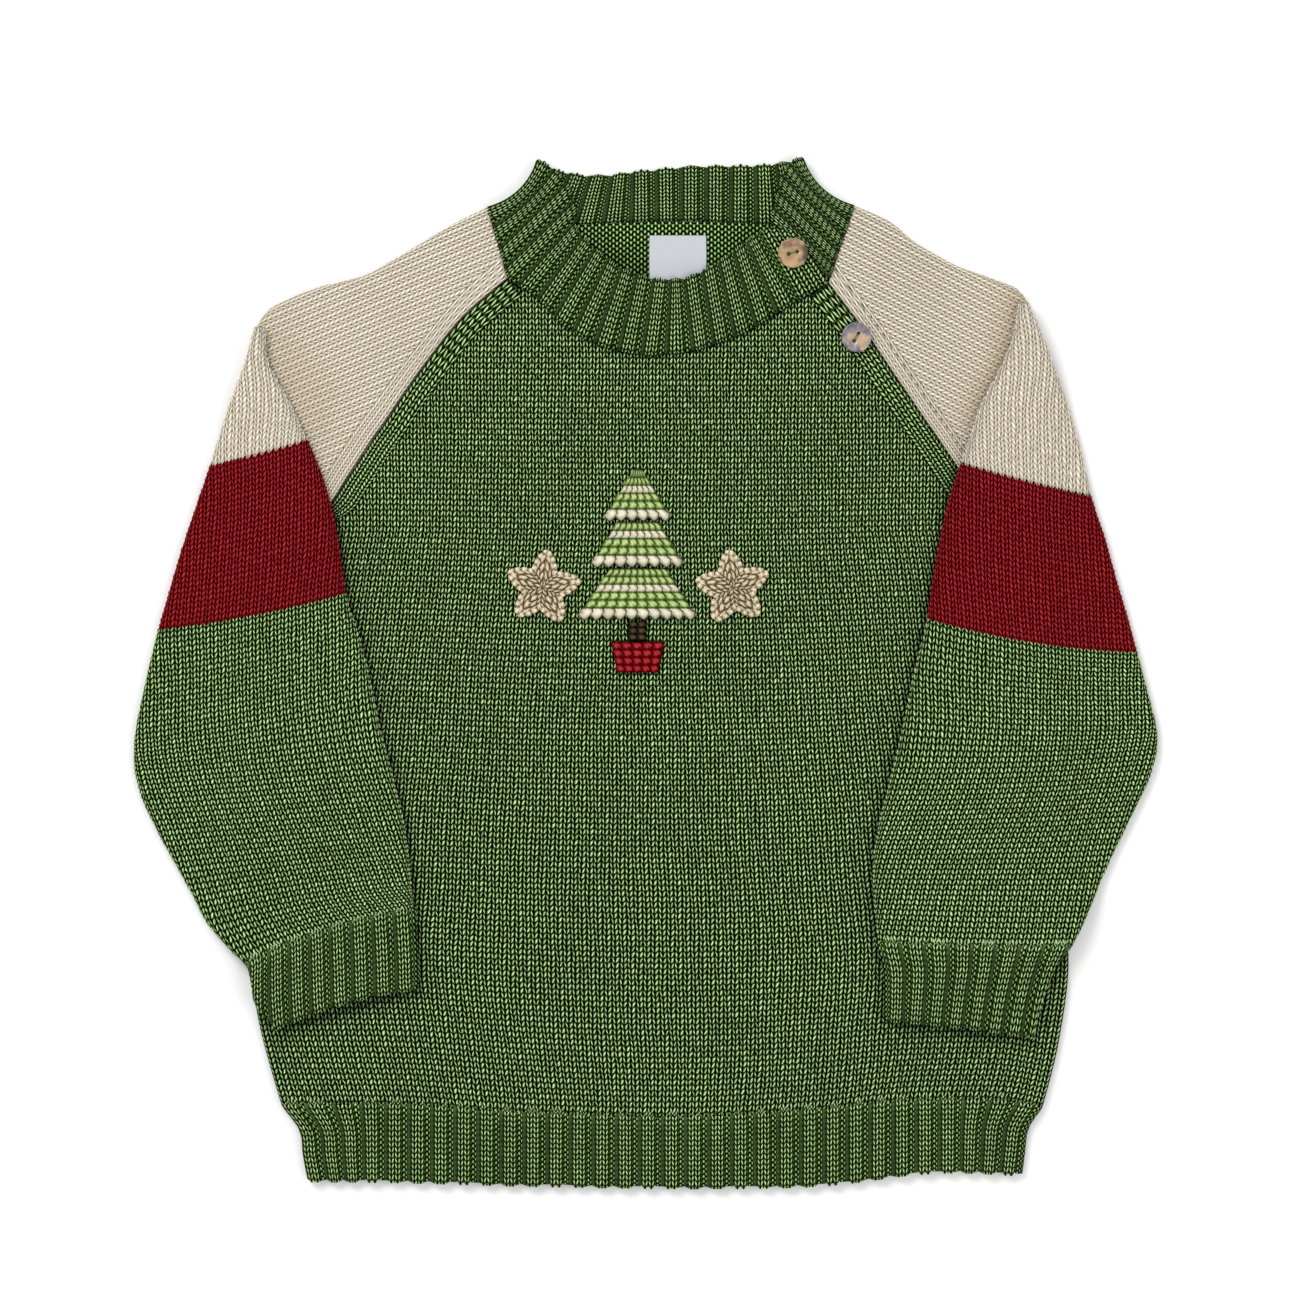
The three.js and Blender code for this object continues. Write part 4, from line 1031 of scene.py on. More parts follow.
def front_half(first, wales, relief):
    """One half of the front: upright wales from the hem, cut off by the neck and the raglans."""
    u, v = stitch_grid(wales, FRONT_COURSES)
    u = u + first
    share = u / FRONT_WALES
    y = np.zeros(u.shape)
    # A column's x and y follow from each other, so both are worked out three times over.
    for _ in range(3):
        x = mix(x_at(SIDE_RIGHT, y), x_at(SIDE_LEFT, y), share)
        low = y_at(HEM_TOP, x)
        y = mix(low, FRONT_HIGH, v / FRONT_COURSES)
    top = front_edge(x)
    # Rows above the panel's upper edge are drawn down on to it.
    cut = y > top
    v = np.where(cut, FRONT_COURSES * (top - low) / (FRONT_HIGH - low), v)
    y = np.minimum(y, top)
    # Wales stray in the middle of the panel and lie straight at its edges.
    inside = smooth((top - y) / 4) * smooth((y - low) / 4) * smooth(np.minimum(share, 1 - share) * 40)
    x = x + FRONT_WALE * wander(u, v) * inside
    z = front_top(x, y)
    seam = bell(top - y, SEAM_REACH)
    depth = relief * (1 - np.where(cut, 0.3, knit_height(u, v))) + SEAM_DROP * seam
    shade = np.clip(SEAM_SHADE * seam + sleeve_shadow(x, y), 0, DARKEST)
    upper = np.stack([x, y, curl(x, y, z) - depth], axis=-1)
    low_x, low_y = x[COARSE], y[COARSE]
    under = np.stack([low_x, low_y, curl(low_x, low_y, z[COARSE] - WALL)], axis=-1)
    return shell(upper, under, np.stack([u, v], axis=-1), {"shade": shade})


def raglan_band(side, relief):
    """Three wales that run along the raglan seam of the front, from the underarm to the neck."""
    seam, inner = rail_inside(side)
    seam, inner = seam[::-1], inner[::-1]
    total = lengths(seam)[-1]
    courses = 2 * int(total / COURSE / 2)
    u, v = stitch_grid(BAND_WALES, courses)
    share = np.clip(v / courses, 0, 1) * (len(seam) - 1)
    low = np.minimum(share.astype(int), len(seam) - 2)
    part = (share - low)[..., None]
    at_seam = mix(seam[low], seam[low + 1], part)
    at_inner = mix(inner[low], inner[low + 1], part)
    across = u / BAND_WALES if side == "left" else 1 - u / BAND_WALES
    across = mix(0.03, 1.0, across)[..., None]
    place = mix(at_inner, at_seam, 1 - across)
    x, y = place[..., 0], place[..., 1]
    edge = bell(across[..., 0] * BAND, BAND_REACH)
    z = curl(x, y, front_top(x, y))
    upper = np.stack([x, y, z - relief * (1 - knit_height(u, v)) - 0.3 * edge], axis=-1)
    under = np.stack([x[COARSE], y[COARSE], z[COARSE] - WALL], axis=-1)
    shade = np.clip(SEAM_SHADE * edge + sleeve_shadow(x, y), 0, DARKEST)
    return shell(upper, under, np.stack([u, v], axis=-1), {"shade": shade})


def even_grid(wide, high, steps_wide, steps_high):
    """Evenly stepped coordinates over a rectangle, row by row."""
    u = np.linspace(0, wide, wide * steps_wide + 1)[None, :]
    v = np.linspace(0, high, high * steps_high + 1)[:, None]
    return u + 0 * v, v + 0 * u


# The back's wales and courses, and the y that they would reach uncut.
BACK_WALES = 102
BACK_COURSES = 160
BACK_HIGH = 176.5


def back_panel():
    """The back: a plain grid from the hem to the seams. Its outside lies on the ground and its
    inside faces up."""
    u, v = even_grid(BACK_WALES, BACK_COURSES, 2, 1)
    seams = {side: polyline(column(CAPS[side], CAP_COLUMNS, "back")) for side in CAPS}
    top_line = np.concatenate([seams["right"][::-1], polyline(NECK_BACK)[1:-1], seams["left"]])
    y = np.zeros(u.shape)
    # A column's x and y follow from each other, so both are worked out three times over.
    for _ in range(3):
        x = mix(x_at(SIDE_RIGHT, y), x_at(SIDE_LEFT, y), u / BACK_WALES)
        low = y_at(HEM_TOP, x)
        top = np.interp(x, top_line[:, 0], top_line[:, 1])
        y = np.minimum(mix(low, BACK_HIGH, v / BACK_COURSES), top)
    outside = np.stack([x, y, curl(x, y, np.zeros(x.shape))], axis=-1)
    low_x, low_y = x[COARSE], y[COARSE]
    inside = np.stack([low_x, low_y, curl(low_x, low_y, np.full(low_x.shape, WALL))], axis=-1)
    return shell(outside, inside, np.stack([u, v], axis=-1))


# The purl side inside the neck: its wales and courses, its two ends, the height of a row, its
# clearance over the back and the depth of its stitches.
NECK_WALES = 44
NECK_COURSES = 32
NECK_ENDS = (-52.0, 68.0)
NECK_COURSE = 2.1
NECK_CLEAR = 0.15
NECK_RELIEF = 0.6


def inside_neck():
    """The purl side of the back panel where it shows inside the neck, darker under the front."""
    u, v = even_grid(NECK_WALES, NECK_COURSES, GRID_STEP, GRID_STEP)
    x = mix(*NECK_ENDS, u / NECK_WALES)
    top = y_at(NECK_BACK, x)
    y = mix(top - NECK_COURSES * NECK_COURSE, top + 0.2, v / NECK_COURSES)
    z = WALL + NECK_CLEAR + NECK_RELIEF * purl_height(u, v)
    upper = np.stack([x, y, z], axis=-1)
    under = np.stack([x[COARSE], y[COARSE], np.full(x[COARSE].shape, WALL + 0.05)], axis=-1)
    # The shade grows downwards over 22 mm from a slanting line below the back collar.
    shade = 0.12 + 0.43 * smooth((-(x - 8) * 0.15 + 172 - y) / 22)
    return shell(upper, under, np.stack([u, v], axis=-1), {"purl": np.ones(x.shape), "shade": shade})


HEM_RIBS = 32
# The hem's ribs stand upright between these two sides, and lean with the sides only near them.
HEM_SIDES = (-136.6, 150.6)
HEM_LEAN = 0.12


def hem(facing, relief):
    """The hem rib of the front (facing up) or of the back (facing down)."""
    share, wale, raised, purl = rib_columns(HEM_RIBS)
    u, v, along, sink, edge = rib_rows(wale, purl)
    right = curve(HEM_SIDE_RIGHT, np.clip(along, 0, 1) * 3)
    left = curve(HEM_SIDE_LEFT, np.clip(along, 0, 1) * 3)
    x = mix(*HEM_SIDES, share)[None, :]
    x = x + (right[..., 0] - HEM_SIDES[0]) * (1 - smooth(share / HEM_LEAN))
    x = x + (left[..., 0] - HEM_SIDES[1]) * (1 - smooth((1 - share) / HEM_LEAN))
    low, high = y_at(HEM_BOTTOM, x), y_at(HEM_TOP, x)
    scallop, rolled = free_edge(raised, along)
    y = mix(low, high, along) - scallop
    drop = rolled + sink
    height = rib_height(u, v, purl)
    raise_rib = RIB_RAISE * raised[None, :] * (1 - JOIN_FLATTEN * edge)
    if facing > 0:
        back = WALL + LAYER_GAP + lift(x, y)
        face = back + RIB_GROOVE + raise_rib - relief * (1 - height) - drop
    else:
        face = 0.85 * (1 - raised[None, :]) + 0.5 * relief * (1 - height) + drop
        back = np.full(x.shape, WALL)
    wide = HEM_SIDES[1] - HEM_SIDES[0]
    near = np.clip(np.minimum(share, 1 - share) * wide / FOLD_RADIUS, 0, 1)[None, :]
    roll = np.sqrt(1 - (1 - near) ** 2)
    upper = np.stack([x, y, mix(MID, face, roll)], axis=-1)
    inner = mix(MID, back, np.broadcast_to(roll, x.shape))
    under = np.stack([x[COARSE], y[COARSE], inner[COARSE]], axis=-1)
    shade = HOLLOW_SHADE["hem"] * (1 - raised[None, :]) * (1 - JOIN_LIGHTEN * edge)
    marks = {"purl": np.broadcast_to(purl, x.shape), "shade": shade}
    return shell(upper, under, np.stack([u, v], axis=-1), marks)


def sleeve_length(side, start, stop):
    """Mean length of a sleeve between two rows of its table."""
    outer, inner, _ = sleeve_tables(side)
    t = np.linspace(start, stop, 80)
    return (lengths(curve(outer, t))[-1] + lengths(curve(inner, t))[-1]) / 2


def sleeve_row(side, start, stop, share):
    """The table row at a share of the mean length between two rows."""
    outer, inner, _ = sleeve_tables(side)
    t = np.linspace(start - 0.6, stop + 0.6, 200)
    far = lengths(curve(outer, t)) + lengths(curve(inner, t))
    first, last = np.interp([start, stop], t, far)
    return np.interp(mix(first, last, share), far, t)


def sleeve_half(side, t):
    """Half the way round a flattened tube, from its outer fold to its inner one."""
    outer, inner, _ = sleeve_tables(side)
    width = np.linalg.norm(curve(outer, t) - curve(inner, t), axis=-1)
    return width + (np.pi - 2) * FOLD_RADIUS


# A tube is closed but for a slit along its inner fold, where its two ends meet.
SLIT = 0.04
# A sleeve narrower than this swells less.
PUFF_WIDTH = 40.0


def sleeve_points(side, t, arc, inset):
    """Points of a flattened tube. The arc is the distance round it from the outer fold: over the
    upper layer where it is positive and under the lower layer where it is negative."""
    outer_table, inner_table, bow_table = sleeve_tables(side)
    outer, inner = curve(outer_table, t), curve(inner_table, t)
    bow = curve(bow_table, t)[..., 1]
    width = np.linalg.norm(outer - inner, axis=-1)
    out = (outer - inner) / width[..., None]
    down = np.stack([out[..., 1], -out[..., 0]], axis=-1) * (1 if side == "left" else -1)
    r = FOLD_RADIUS
    quarter = np.pi * r / 2
    half = sleeve_half(side, t)
    reach = half - SLIT
    inset = np.where(np.abs(arc) > reach, inset.min(), inset)
    arc = np.clip(arc, -reach, reach)
    far = np.abs(arc)
    at_outer, at_inner = far < quarter, far > half - quarter
    angle = np.where(at_outer, far, half - far) / r
    across = np.where(
        at_outer,
        r - (r - inset) * np.cos(angle),
        np.where(at_inner, width - r + (r - inset) * np.cos(angle), r + far - quarter),
    )
    high = np.where(at_outer | at_inner, (r - inset) * np.sin(angle), r - inset)
    share = 1 - across / width
    place = outer - out * across[..., None] + down * (bow * 4 * share * (1 - share))[..., None]
    x, y = place[..., 0], place[..., 1]
    puff = np.sin(np.pi * np.clip(share, 0, 1)) * np.clip((width - 2 * r) / PUFF_WIDTH, 0, 1)
    z = sleeve_base(side, x, y) + r + np.sign(arc) * high
    z = z + np.where(arc > 0, SLEEVE_PUFF * puff * np.where(at_outer | at_inner, 0, 1), 0)
    return np.stack([x, y, z], axis=-1), half


# How far the wales turn from the outer fold's line towards the inner one's.
WALE_TURN = 0.5
# Shade along the inner fold and its reach.
FOLD_SHADE = 0.18
FOLD_SHADE_REACH = 3.0


def sleeve_cut(side, start, stop):
    """Width all round and length of a stretch of sleeve, opened out flat, in metres."""
    outer, inner, _ = sleeve_tables(side)
    t = np.linspace(start, stop, 60)
    widest = np.linalg.norm(curve(outer, t) - curve(inner, t), axis=-1).max()
    return 2 * widest * MM, sleeve_length(side, start, stop) * MM


def sleeve_stretch(side, start, stop, relief):
    """A plain-knit stretch of sleeve. Its wales run along the middle of the sleeve, and those
    that reach the inner fold end there."""
    courses = 2 * round(sleeve_length(side, start, stop) / COURSE / 2)
    widest = sleeve_half(side, np.linspace(start, stop, 60)).max()
    wales = int(np.ceil(widest / WALE)) + 1
    u, v = stitch_grid(2 * wales, courses)
    inside = smooth(v / 3) * smooth((courses - v) / 3)
    t = np.maximum(sleeve_row(side, start, stop, 1 - v / courses), 0)
    arc = (u - wales + wander(u, v) * inside) * WALE + WALE_TURN * (sleeve_half(side, t) - widest)
    depth = relief * (1 - knit_height(u, v))
    upper, half = sleeve_points(side, t, arc, depth)
    under, _ = sleeve_points(side, t[COARSE], arc[COARSE], np.full(arc[COARSE].shape, WALL))
    shade = FOLD_SHADE * bell(half - np.abs(arc), FOLD_SHADE_REACH)
    return shell(upper, under, np.stack([u, v], axis=-1), {"shade": shade})


CUFF_RIBS = 8
# How far a cuff's ribs keep to the inner fold's line: at nought they fan out to both folds.
CUFF_UPRIGHT = {"right": 1.0, "left": 0.3}


def cuff(side, relief):
    """The cuff rib: ribs all round, raised over the upper layer and sunk into the lower one."""
    joins = SLEEVE_JOINS[side]
    start, stop = joins["cuff"], joins["end"]
    share, wale, raised, purl = rib_columns(2 * CUFF_RIBS)
    u, v, along, sink, edge = rib_rows(wale, purl)
    t = np.minimum(sleeve_row(side, start, stop, 1 - along), stop)
    half = sleeve_half(side, t)
    upright = CUFF_UPRIGHT[side] * 2 * np.minimum(share, 1 - share)[None, :]
    arc = mix(-half, half, share[None, :]) + upright * (half - sleeve_half(side, (start + stop) / 2))
    height = rib_height(u, v, purl)
    push, rolled = free_edge(raised, along)
    hollow = 1 - raised[None, :]
    lifted = np.where(arc > 0, -RIB_RAISE * raised[None, :] * (1 - JOIN_FLATTEN * edge), 0.6 * hollow)
    inset = lifted + relief * (1 - height) + rolled + sink
    upper, _ = sleeve_points(side, t, arc, inset)
    outer_table, _, _ = sleeve_tables(side)
    end = curve(outer_table, stop) - curve(outer_table, stop - 0.3)
    end = end / np.linalg.norm(end)
    upper[..., :2] += end * push[..., None]
    under, _ = sleeve_points(side, t[COARSE], arc[COARSE], np.full(arc[COARSE].shape, RIB_GROOVE))
    shade = HOLLOW_SHADE["cuff"] * hollow ** 3 * (1 - JOIN_LIGHTEN * edge)
    marks = {"purl": np.broadcast_to(purl, arc.shape), "shade": shade}
    return shell(upper, under, np.stack([u, v], axis=-1), marks)


# Degrees that the caps' wales turn from +X.
CAP_TURN = {"right": 23.0, "left": -27.0}
# Strips of a cap's section: columns, and the shares where each starts and stops, with None where
# the band along the front seam ends. The last one is the back layer, which the cap hides.
CAP_STRIPS = {"band": (12, 0.004, None), "middle": (120, None, 0.56), "hidden": (80, 0.56, 0.996)}
# The size of the caps' grid steps along the seam.
CAP_STEP = 0.55
# A decrease leaves a hole in every other course of the left cap's band, this far across it.
HOLE_PLACE = 6.6
HOLE_REACH = 0.5


def cap_points(side, s, w, inset):
    """Points of a sleeve cap's section: out from the front seam, round the fold and back. The
    distance w runs along the section from the front seam. Also gives the unrolled place."""
    front, fold, back = (curve(column(CAPS[side], CAP_COLUMNS, name), s) for name in CAP_COLUMNS)
    reach_front = np.linalg.norm(fold - front, axis=-1)
    reach_back = np.linalg.norm(back - fold, axis=-1)
    out = (fold - front) / reach_front[..., None]
    home = (back - fold) / reach_back[..., None]
    r = FOLD_RADIUS
    flat_front, arc = reach_front - r, np.pi * r
    total = flat_front + arc + reach_back - r
    w = w * total
    on_arc = np.clip((w - flat_front) / arc, 0, 1)
    angle = np.pi * (0.5 - on_arc)
    front_part = np.minimum(w, flat_front)[..., None] * out + front
    back_part = fold + home * (r + np.maximum(w - flat_front - arc, 0))[..., None]
    centre = mix(fold - out * r, fold + home * r, on_arc[..., None])
    heading = mix(out, -home, on_arc[..., None])
    heading = heading / np.linalg.norm(heading, axis=-1, keepdims=True)
    turned = centre + heading * ((r - inset) * np.cos(angle))[..., None]
    on_front, on_back = w < flat_front, w > flat_front + arc
    place = np.where(on_front[..., None], front_part, np.where(on_back[..., None], back_part, turned))
    x, y = place[..., 0], place[..., 1]
    z = np.where(
        on_front,
        front_top(x, y) - inset,
        np.where(on_back, inset, MID + (r - inset) * np.sin(angle) + lift(x, y) * (1 - on_arc)),
    )
    unrolled = front + out * w[..., None]
    return np.stack([x, y, z], axis=-1), unrolled, w, total


# A tan tint on the cream caps. The right cap's patch: its middle, the heading of its length, its
# reach along and across, and its strength. The left cap's band of painted shade beside the sleeve:
# its reach, the y where it starts, the run over which it sets in, and its strength.
PATCH_MIDDLE = (-133, 110)
PATCH_HEADING = (0.42, -0.91)
PATCH_REACH = (32, 12)
PATCH_TINT = 0.55
PAINTED_SHADE_REACH = 7.0
PAINTED_SHADE_START = 84
PAINTED_SHADE_RUN = 20
PAINTED_SHADE_STRENGTH = 0.75


def cap_patch_and_painted_shade(side, x, y):
    """A tan tint on a cap: a slanting patch inside the right shoulder's tip, a bell along and across,
    and on the left a band of painted shade beside the sleeve, a bell of the distance to it."""
    if side == "left":
        # Painted shade beside the sleeve.
        beside = bell(polygon_distance(x, y, sleeve_outline(side)), PAINTED_SHADE_REACH)
        return PAINTED_SHADE_STRENGTH * beside * smooth((y - PAINTED_SHADE_START) / PAINTED_SHADE_RUN)
    dx, dy = x - PATCH_MIDDLE[0], y - PATCH_MIDDLE[1]
    along = PATCH_HEADING[0] * dx + PATCH_HEADING[1] * dy
    across = PATCH_HEADING[0] * dy - PATCH_HEADING[1] * dx
    return PATCH_TINT * bell(along, PATCH_REACH[0]) * bell(across, PATCH_REACH[1])


def cap_piece(side, relief):
    """A sleeve cap: a band of three wales along the front seam, and beyond it wales that run from
    the neck towards the tip of the shoulder, round the fold and over the back."""
    seam = polyline(column(CAPS[side], CAP_COLUMNS, "front"))
    long = lengths(seam)[-1]
    rows = GRID_STEP * int(long / CAP_STEP / GRID_STEP)
    s = np.linspace(0, len(CAPS[side]) - 1, rows + 1)[:, None]
    parts = []
    turn = math.radians(CAP_TURN[side])
    along = np.array([math.cos(turn), math.sin(turn)])
    across = np.array([-math.sin(turn), math.cos(turn)])
    _, _, _, total = cap_points(side, s, np.zeros(s.shape), 0.0)
    for kind, (columns, start, stop) in CAP_STRIPS.items():
        low = BAND / total if start is None else start
        high = BAND / total if stop is None else stop
        share = np.linspace(0, 1, columns + 1)[None, :]
        w = mix(low, high, share) + np.zeros(s.shape)
        s_all = s + np.zeros_like(w)
        _, unrolled, _, _ = cap_points(side, s_all, w, 0.0)
        if kind == "band":
            u = BAND_WALES * share + np.zeros_like(w)
            v = -np.linspace(0, long / COURSE, rows + 1)[:, None] + np.zeros_like(w)
            edge = bell(w * total, BAND_REACH)
            shade = 0.1 * edge
            if side == "left":
                hole = bell(share * BAND - HOLE_PLACE, HOLE_REACH) * (np.mod(v / 2, 1) > 0.62)
                shade = shade + 0.75 * hole
                edge = edge + 0.9 * hole
        else:
            u = (unrolled @ across) / WALE
            v = (unrolled @ along) / COURSE
            edge = np.zeros_like(w)
            shade = np.zeros_like(w)
        depth = relief * (1 - knit_height(u, v)) + 0.4 * edge
        upper, _, far, total_all = cap_points(side, s_all, w, depth)
        # The tint: a tan patch on the right cap, and painted shade beside the sleeve on the left.
        tint = cap_patch_and_painted_shade(side, upper[..., 0], upper[..., 1]) * (far < 0.6 * total_all)
        under, _, _, _ = cap_points(side, s_all[COARSE], w[COARSE], np.full(w[COARSE].shape, WALL))
        marks = {"shade": np.clip(shade, 0, 0.9), "tint": tint}
        parts.append(shell(upper, under, np.stack([u, v], axis=-1), marks))
    return join_shells(parts)


# How far the dips at the collar's seam and edge reach, and how much fuller its ribs are.
COLLAR_REACH = 1.5
COLLAR_FULLER = 1.1


def collar_piece(stations, ribs, level, relief, bows, plain_wales, stop):
    """A stretch of collar rib: columns between its seam and its free edge. The laid-out collar's
    outer edges bow inwards: bows gives the sense of the bow at the stretch's start and end."""
    last = len(stations) - 1
    t = np.linspace(0, last, 400)
    seam, edge = (column(stations, COLLAR_COLUMNS, name) for name in COLLAR_COLUMNS)
    far = lengths(curve(seam, t)) + lengths(curve(edge, t))
    share, wale, raised, purl = rib_columns(ribs, stop, plain_wales)
    u, v, along = rib_grid(wale, purl, RIB_COURSES, 0.03)
    station = np.interp(share * far[-1], far, t)[None, :] + np.zeros_like(v)
    low, high = curve(seam, station), curve(edge, station)
    long = np.linalg.norm(high - low, axis=-1)
    scallop = 0.8 * (raised[None, :] - 0.5) * bell((1 - along) * long, 2.0)
    place = mix(low, high, (along + scallop / long)[..., None])
    bow = bows[0] * (1 - smooth(station / BOW_FADE)) + bows[1] * (1 - smooth((last - station) / BOW_FADE))
    bow = COLLAR_BOW * bow * 4 * np.clip(along * (1 - along), 0, 1) / long
    x = place[..., 0] + bow * (high - low)[..., 1]
    y = place[..., 1] - bow * (high - low)[..., 0]
    floor = level(station, np.clip(along, 0, 1))
    height = rib_height(u, v, purl)
    at_seam = bell(along * long, COLLAR_REACH)
    at_edge = bell((1 - along) * long, COLLAR_REACH)
    rib = RIB_RAISE * COLLAR_FULLER * raised[None, :] * (1 - JOIN_FLATTEN * at_seam)
    z = floor + RIB_GROOVE + rib - relief * (1 - height) - 0.5 * at_edge - 0.4 * at_seam
    upper = np.stack([x, y, z], axis=-1)
    under = np.stack([x[COARSE], y[COARSE], floor[COARSE]], axis=-1)
    shade = HOLLOW_SHADE["collar"] * (1 - raised[None, :]) + SEAM_SHADE * at_seam
    marks = {"purl": np.broadcast_to(purl, x.shape), "shade": np.clip(shade, 0, 0.75)}
    return shell(upper, under, np.stack([u, v], axis=-1), marks)


def flap_level(station, height):
    """The underside of the front collar, which climbs on to the shoulder collar at its flap."""
    rising = smooth((station - FLAP_START) / (FLAP_TOP - FLAP_START))
    return COLLAR_LEVEL + FLAP_RISE * rising * smooth(height / 0.33)


def shoulder_level(station, height):
    """The underside of the collar over the left shoulder."""
    return np.full(station.shape, COLLAR_LEVEL)


def ground_level(station, height):
    """The underside of the back collar, which lies on the ground."""
    return np.zeros(station.shape)


# Stretches of collar: stations, ribs, underside, bows at both ends, plain wales after the ribs
# and the share where the ribs end.
COLLARS = {
    "collar_back": (COLLAR_BACK, 13, ground_level, (1, -1), 0, 1.0),
    "collar_left_shoulder": (SHOULDER_COLLAR, 5, shoulder_level, (-1, 0), 0, 1.0),
    "collar_front": (COLLAR_FRONT, 17, flap_level, (1, 0), 4, 0.915),
}


# Crochet, buttons and label

# Stitches in a star's first round, its rounds, and the radii of its notches and its points.
STAR_STITCHES = 8
STAR_ROUNDS = 4
STAR_NOTCH = 7.0
STAR_POINT = 14.5


def star_outline(turn):
    """A soft five-pointed star: its radius swings between its points and its notches."""
    angle = np.linspace(0, 2 * np.pi, 4 * STAR_ROUNDS * STAR_STITCHES + 1)
    phase = np.abs(np.mod(angle * 5 / (2 * np.pi), 1.0) - 0.5) * 2
    radius = mix(STAR_NOTCH, STAR_POINT, phase ** 1.15)
    return np.stack([radius * np.sin(angle + turn), radius * np.cos(angle + turn)], axis=-1)


def crochet_height(u, v):
    """A knot for each stitch: half sines across and along it, flattened at the top."""
    lean = KNOT_LEAN * np.abs(np.mod(v, 1.0) - 0.5)
    across = np.sin(np.pi * np.mod(u + lean, 1.0)) ** KNOT_POWER
    return across * np.abs(np.sin(np.pi * np.mod(v, 1.0))) ** KNOT_POWER


# The underside of the crochet and its thickness, the share of it that a motif's rim has below its
# knots, how much more the middle has, and the shade along the rim.
MOTIF_BASE = BODY_TOP + 0.3
MOTIF_THICK = 2.3
MOTIF_RIM = 0.35
MOTIF_SWELL = 0.45
MOTIF_RIM_SHADE = 0.25
# Grid steps to a crochet stitch.
MOTIF_STEPS = 8


def motif_shell(x, y, u, v, tint=None):
    """A crocheted motif on the front: its rim is rolled down and its stitches stand up."""
    rows, columns = x.shape
    i = np.minimum(np.arange(rows), np.arange(rows)[::-1])[:, None]
    j = np.minimum(np.arange(columns), np.arange(columns)[::-1])[None, :]
    inside = np.clip(np.minimum(i, j) / 3.0, 0, 1)
    base = MOTIF_BASE + lift(x, y)
    z = base + MOTIF_THICK * (MOTIF_RIM + MOTIF_SWELL * np.sqrt(inside))
    z = z + crochet_height(u, v) * inside
    upper = np.stack([x, y, z], axis=-1)
    pick = (slice(None, None, 2), slice(None, None, 2))
    under = np.stack([x[pick], y[pick], base[pick]], axis=-1)
    marks = {"shade": MOTIF_RIM_SHADE * (1 - inside)}
    if tint is not None:
        marks["tint"] = tint
    return shell(upper, under, np.stack([u, v], axis=-1), marks)


# The middle of the applique's lower edge.
APPLIQUE = {"x": -3.0, "y": 0.0}
# Tiers of the fir: lower and upper edge, half the width at each, stitches and rows.
TIER_COLUMNS = ("node", "bottom", "top", "low", "high", "stitches", "rows")
TIERS = [
    ("tree_bottom", 20.5, 40.5, 23, 11, 10, 6),
    ("tree_middle", 40.9, 58.5, 18, 8, 8, 5),
    ("tree_top", 58.9, 79, 13, 1.6, 6, 6),
]
# Half widths, lower and upper edge, stitches and rows of the blocks, then the stars' middles and
# turns.
BLOCKS = [
    ("tree_trunk", (3.6, 3.4, 12.4, 20.1, 2, 3), "brown"),
    ("tree_pot", (8, 10.5, 0, 12, 5, 4), "red"),
]
STARS = [("star_right", -37, 33, 0.12), ("star_left", 37, 33, -0.12)]
SCALLOP = 1.6


def tier_shell(tier):
    """A branch tier of the fir: rows of crochet between sloping sides, with a scalloped lower
    edge and two snowy rows. Each row bulges a little at its two ends."""
    data = dict(zip(TIER_COLUMNS, tier))
    u, v = even_grid(data["stitches"], data["rows"], MOTIF_STEPS, MOTIF_STEPS)
    across = u / data["stitches"]
    half = mix(data["low"], data["high"], v / data["rows"])
    wave = SCALLOP * np.abs(np.sin(np.pi * u)) * np.clip(1 - v, 0, 1)
    y = APPLIQUE["y"] + mix(data["bottom"] + SCALLOP, data["top"], v / data["rows"]) - wave
    outward = np.where(across > 0.5, 1, -1) * (np.abs(across - 0.5) > 0.49)
    x = APPLIQUE["x"] + mix(-half, half, across) + 0.5 * np.sin(np.pi * v) * outward
    tint = ((v < 1.0) | ((v > 3.0) & (v < 4.0))).astype(float)
    return motif_shell(x, y, u, v, tint)


def block_shell(low, high, bottom, top, stitches, rows):
    """A plain crocheted block with sloping sides."""
    u, v = even_grid(stitches, rows, MOTIF_STEPS, MOTIF_STEPS)
    half = mix(low, high, v / rows)
    x = APPLIQUE["x"] + mix(-half, half, u / stitches)
    y = APPLIQUE["y"] + mix(bottom, top, v / rows)
    return motif_shell(x, y, u, v)


def star_shell(x, y, turn):
    """A star crocheted in rounds from its middle."""
    outline = star_outline(turn)
    v = np.linspace(0, STAR_ROUNDS, STAR_ROUNDS * MOTIF_STEPS + 1)[:, None]
    place = outline[None, :, :] * (v / STAR_ROUNDS)[..., None]
    place = place + np.array([APPLIQUE["x"] + x, APPLIQUE["y"] + y])
    count = STAR_STITCHES * np.clip(np.ceil(v), 1, STAR_ROUNDS)
    u = np.linspace(0, 1, outline.shape[0])[None, :] * count
    v = v + 0 * u
    near_rim = np.clip((STAR_ROUNDS - v) / 0.4, 0, 1)
    base = MOTIF_BASE + lift(place[..., 0], place[..., 1])
    bumps = crochet_height(u, v) * near_rim * np.clip(v / 0.5, 0, 1)
    z = base + MOTIF_THICK * (MOTIF_RIM + MOTIF_SWELL * np.sqrt(near_rim)) + 0.9 * bumps
    upper = np.concatenate([place, z[..., None]], axis=-1)
    under = np.concatenate([place[COARSE], base[COARSE][..., None]], axis=-1)
    marks = {"shade": MOTIF_RIM_SHADE * (1 - near_rim)}
    open_edges = ("first_column", "last_column", "first_row")
    return shell(upper, under, np.stack([u, v], axis=-1), marks, open_edges)


# A star's chain-stitch edge: its height over the crochet's underside, its radius and its loops.
EDGE_HIGH = 1.3
EDGE_RADIUS = 1.15
EDGE_PITCH = 2.6


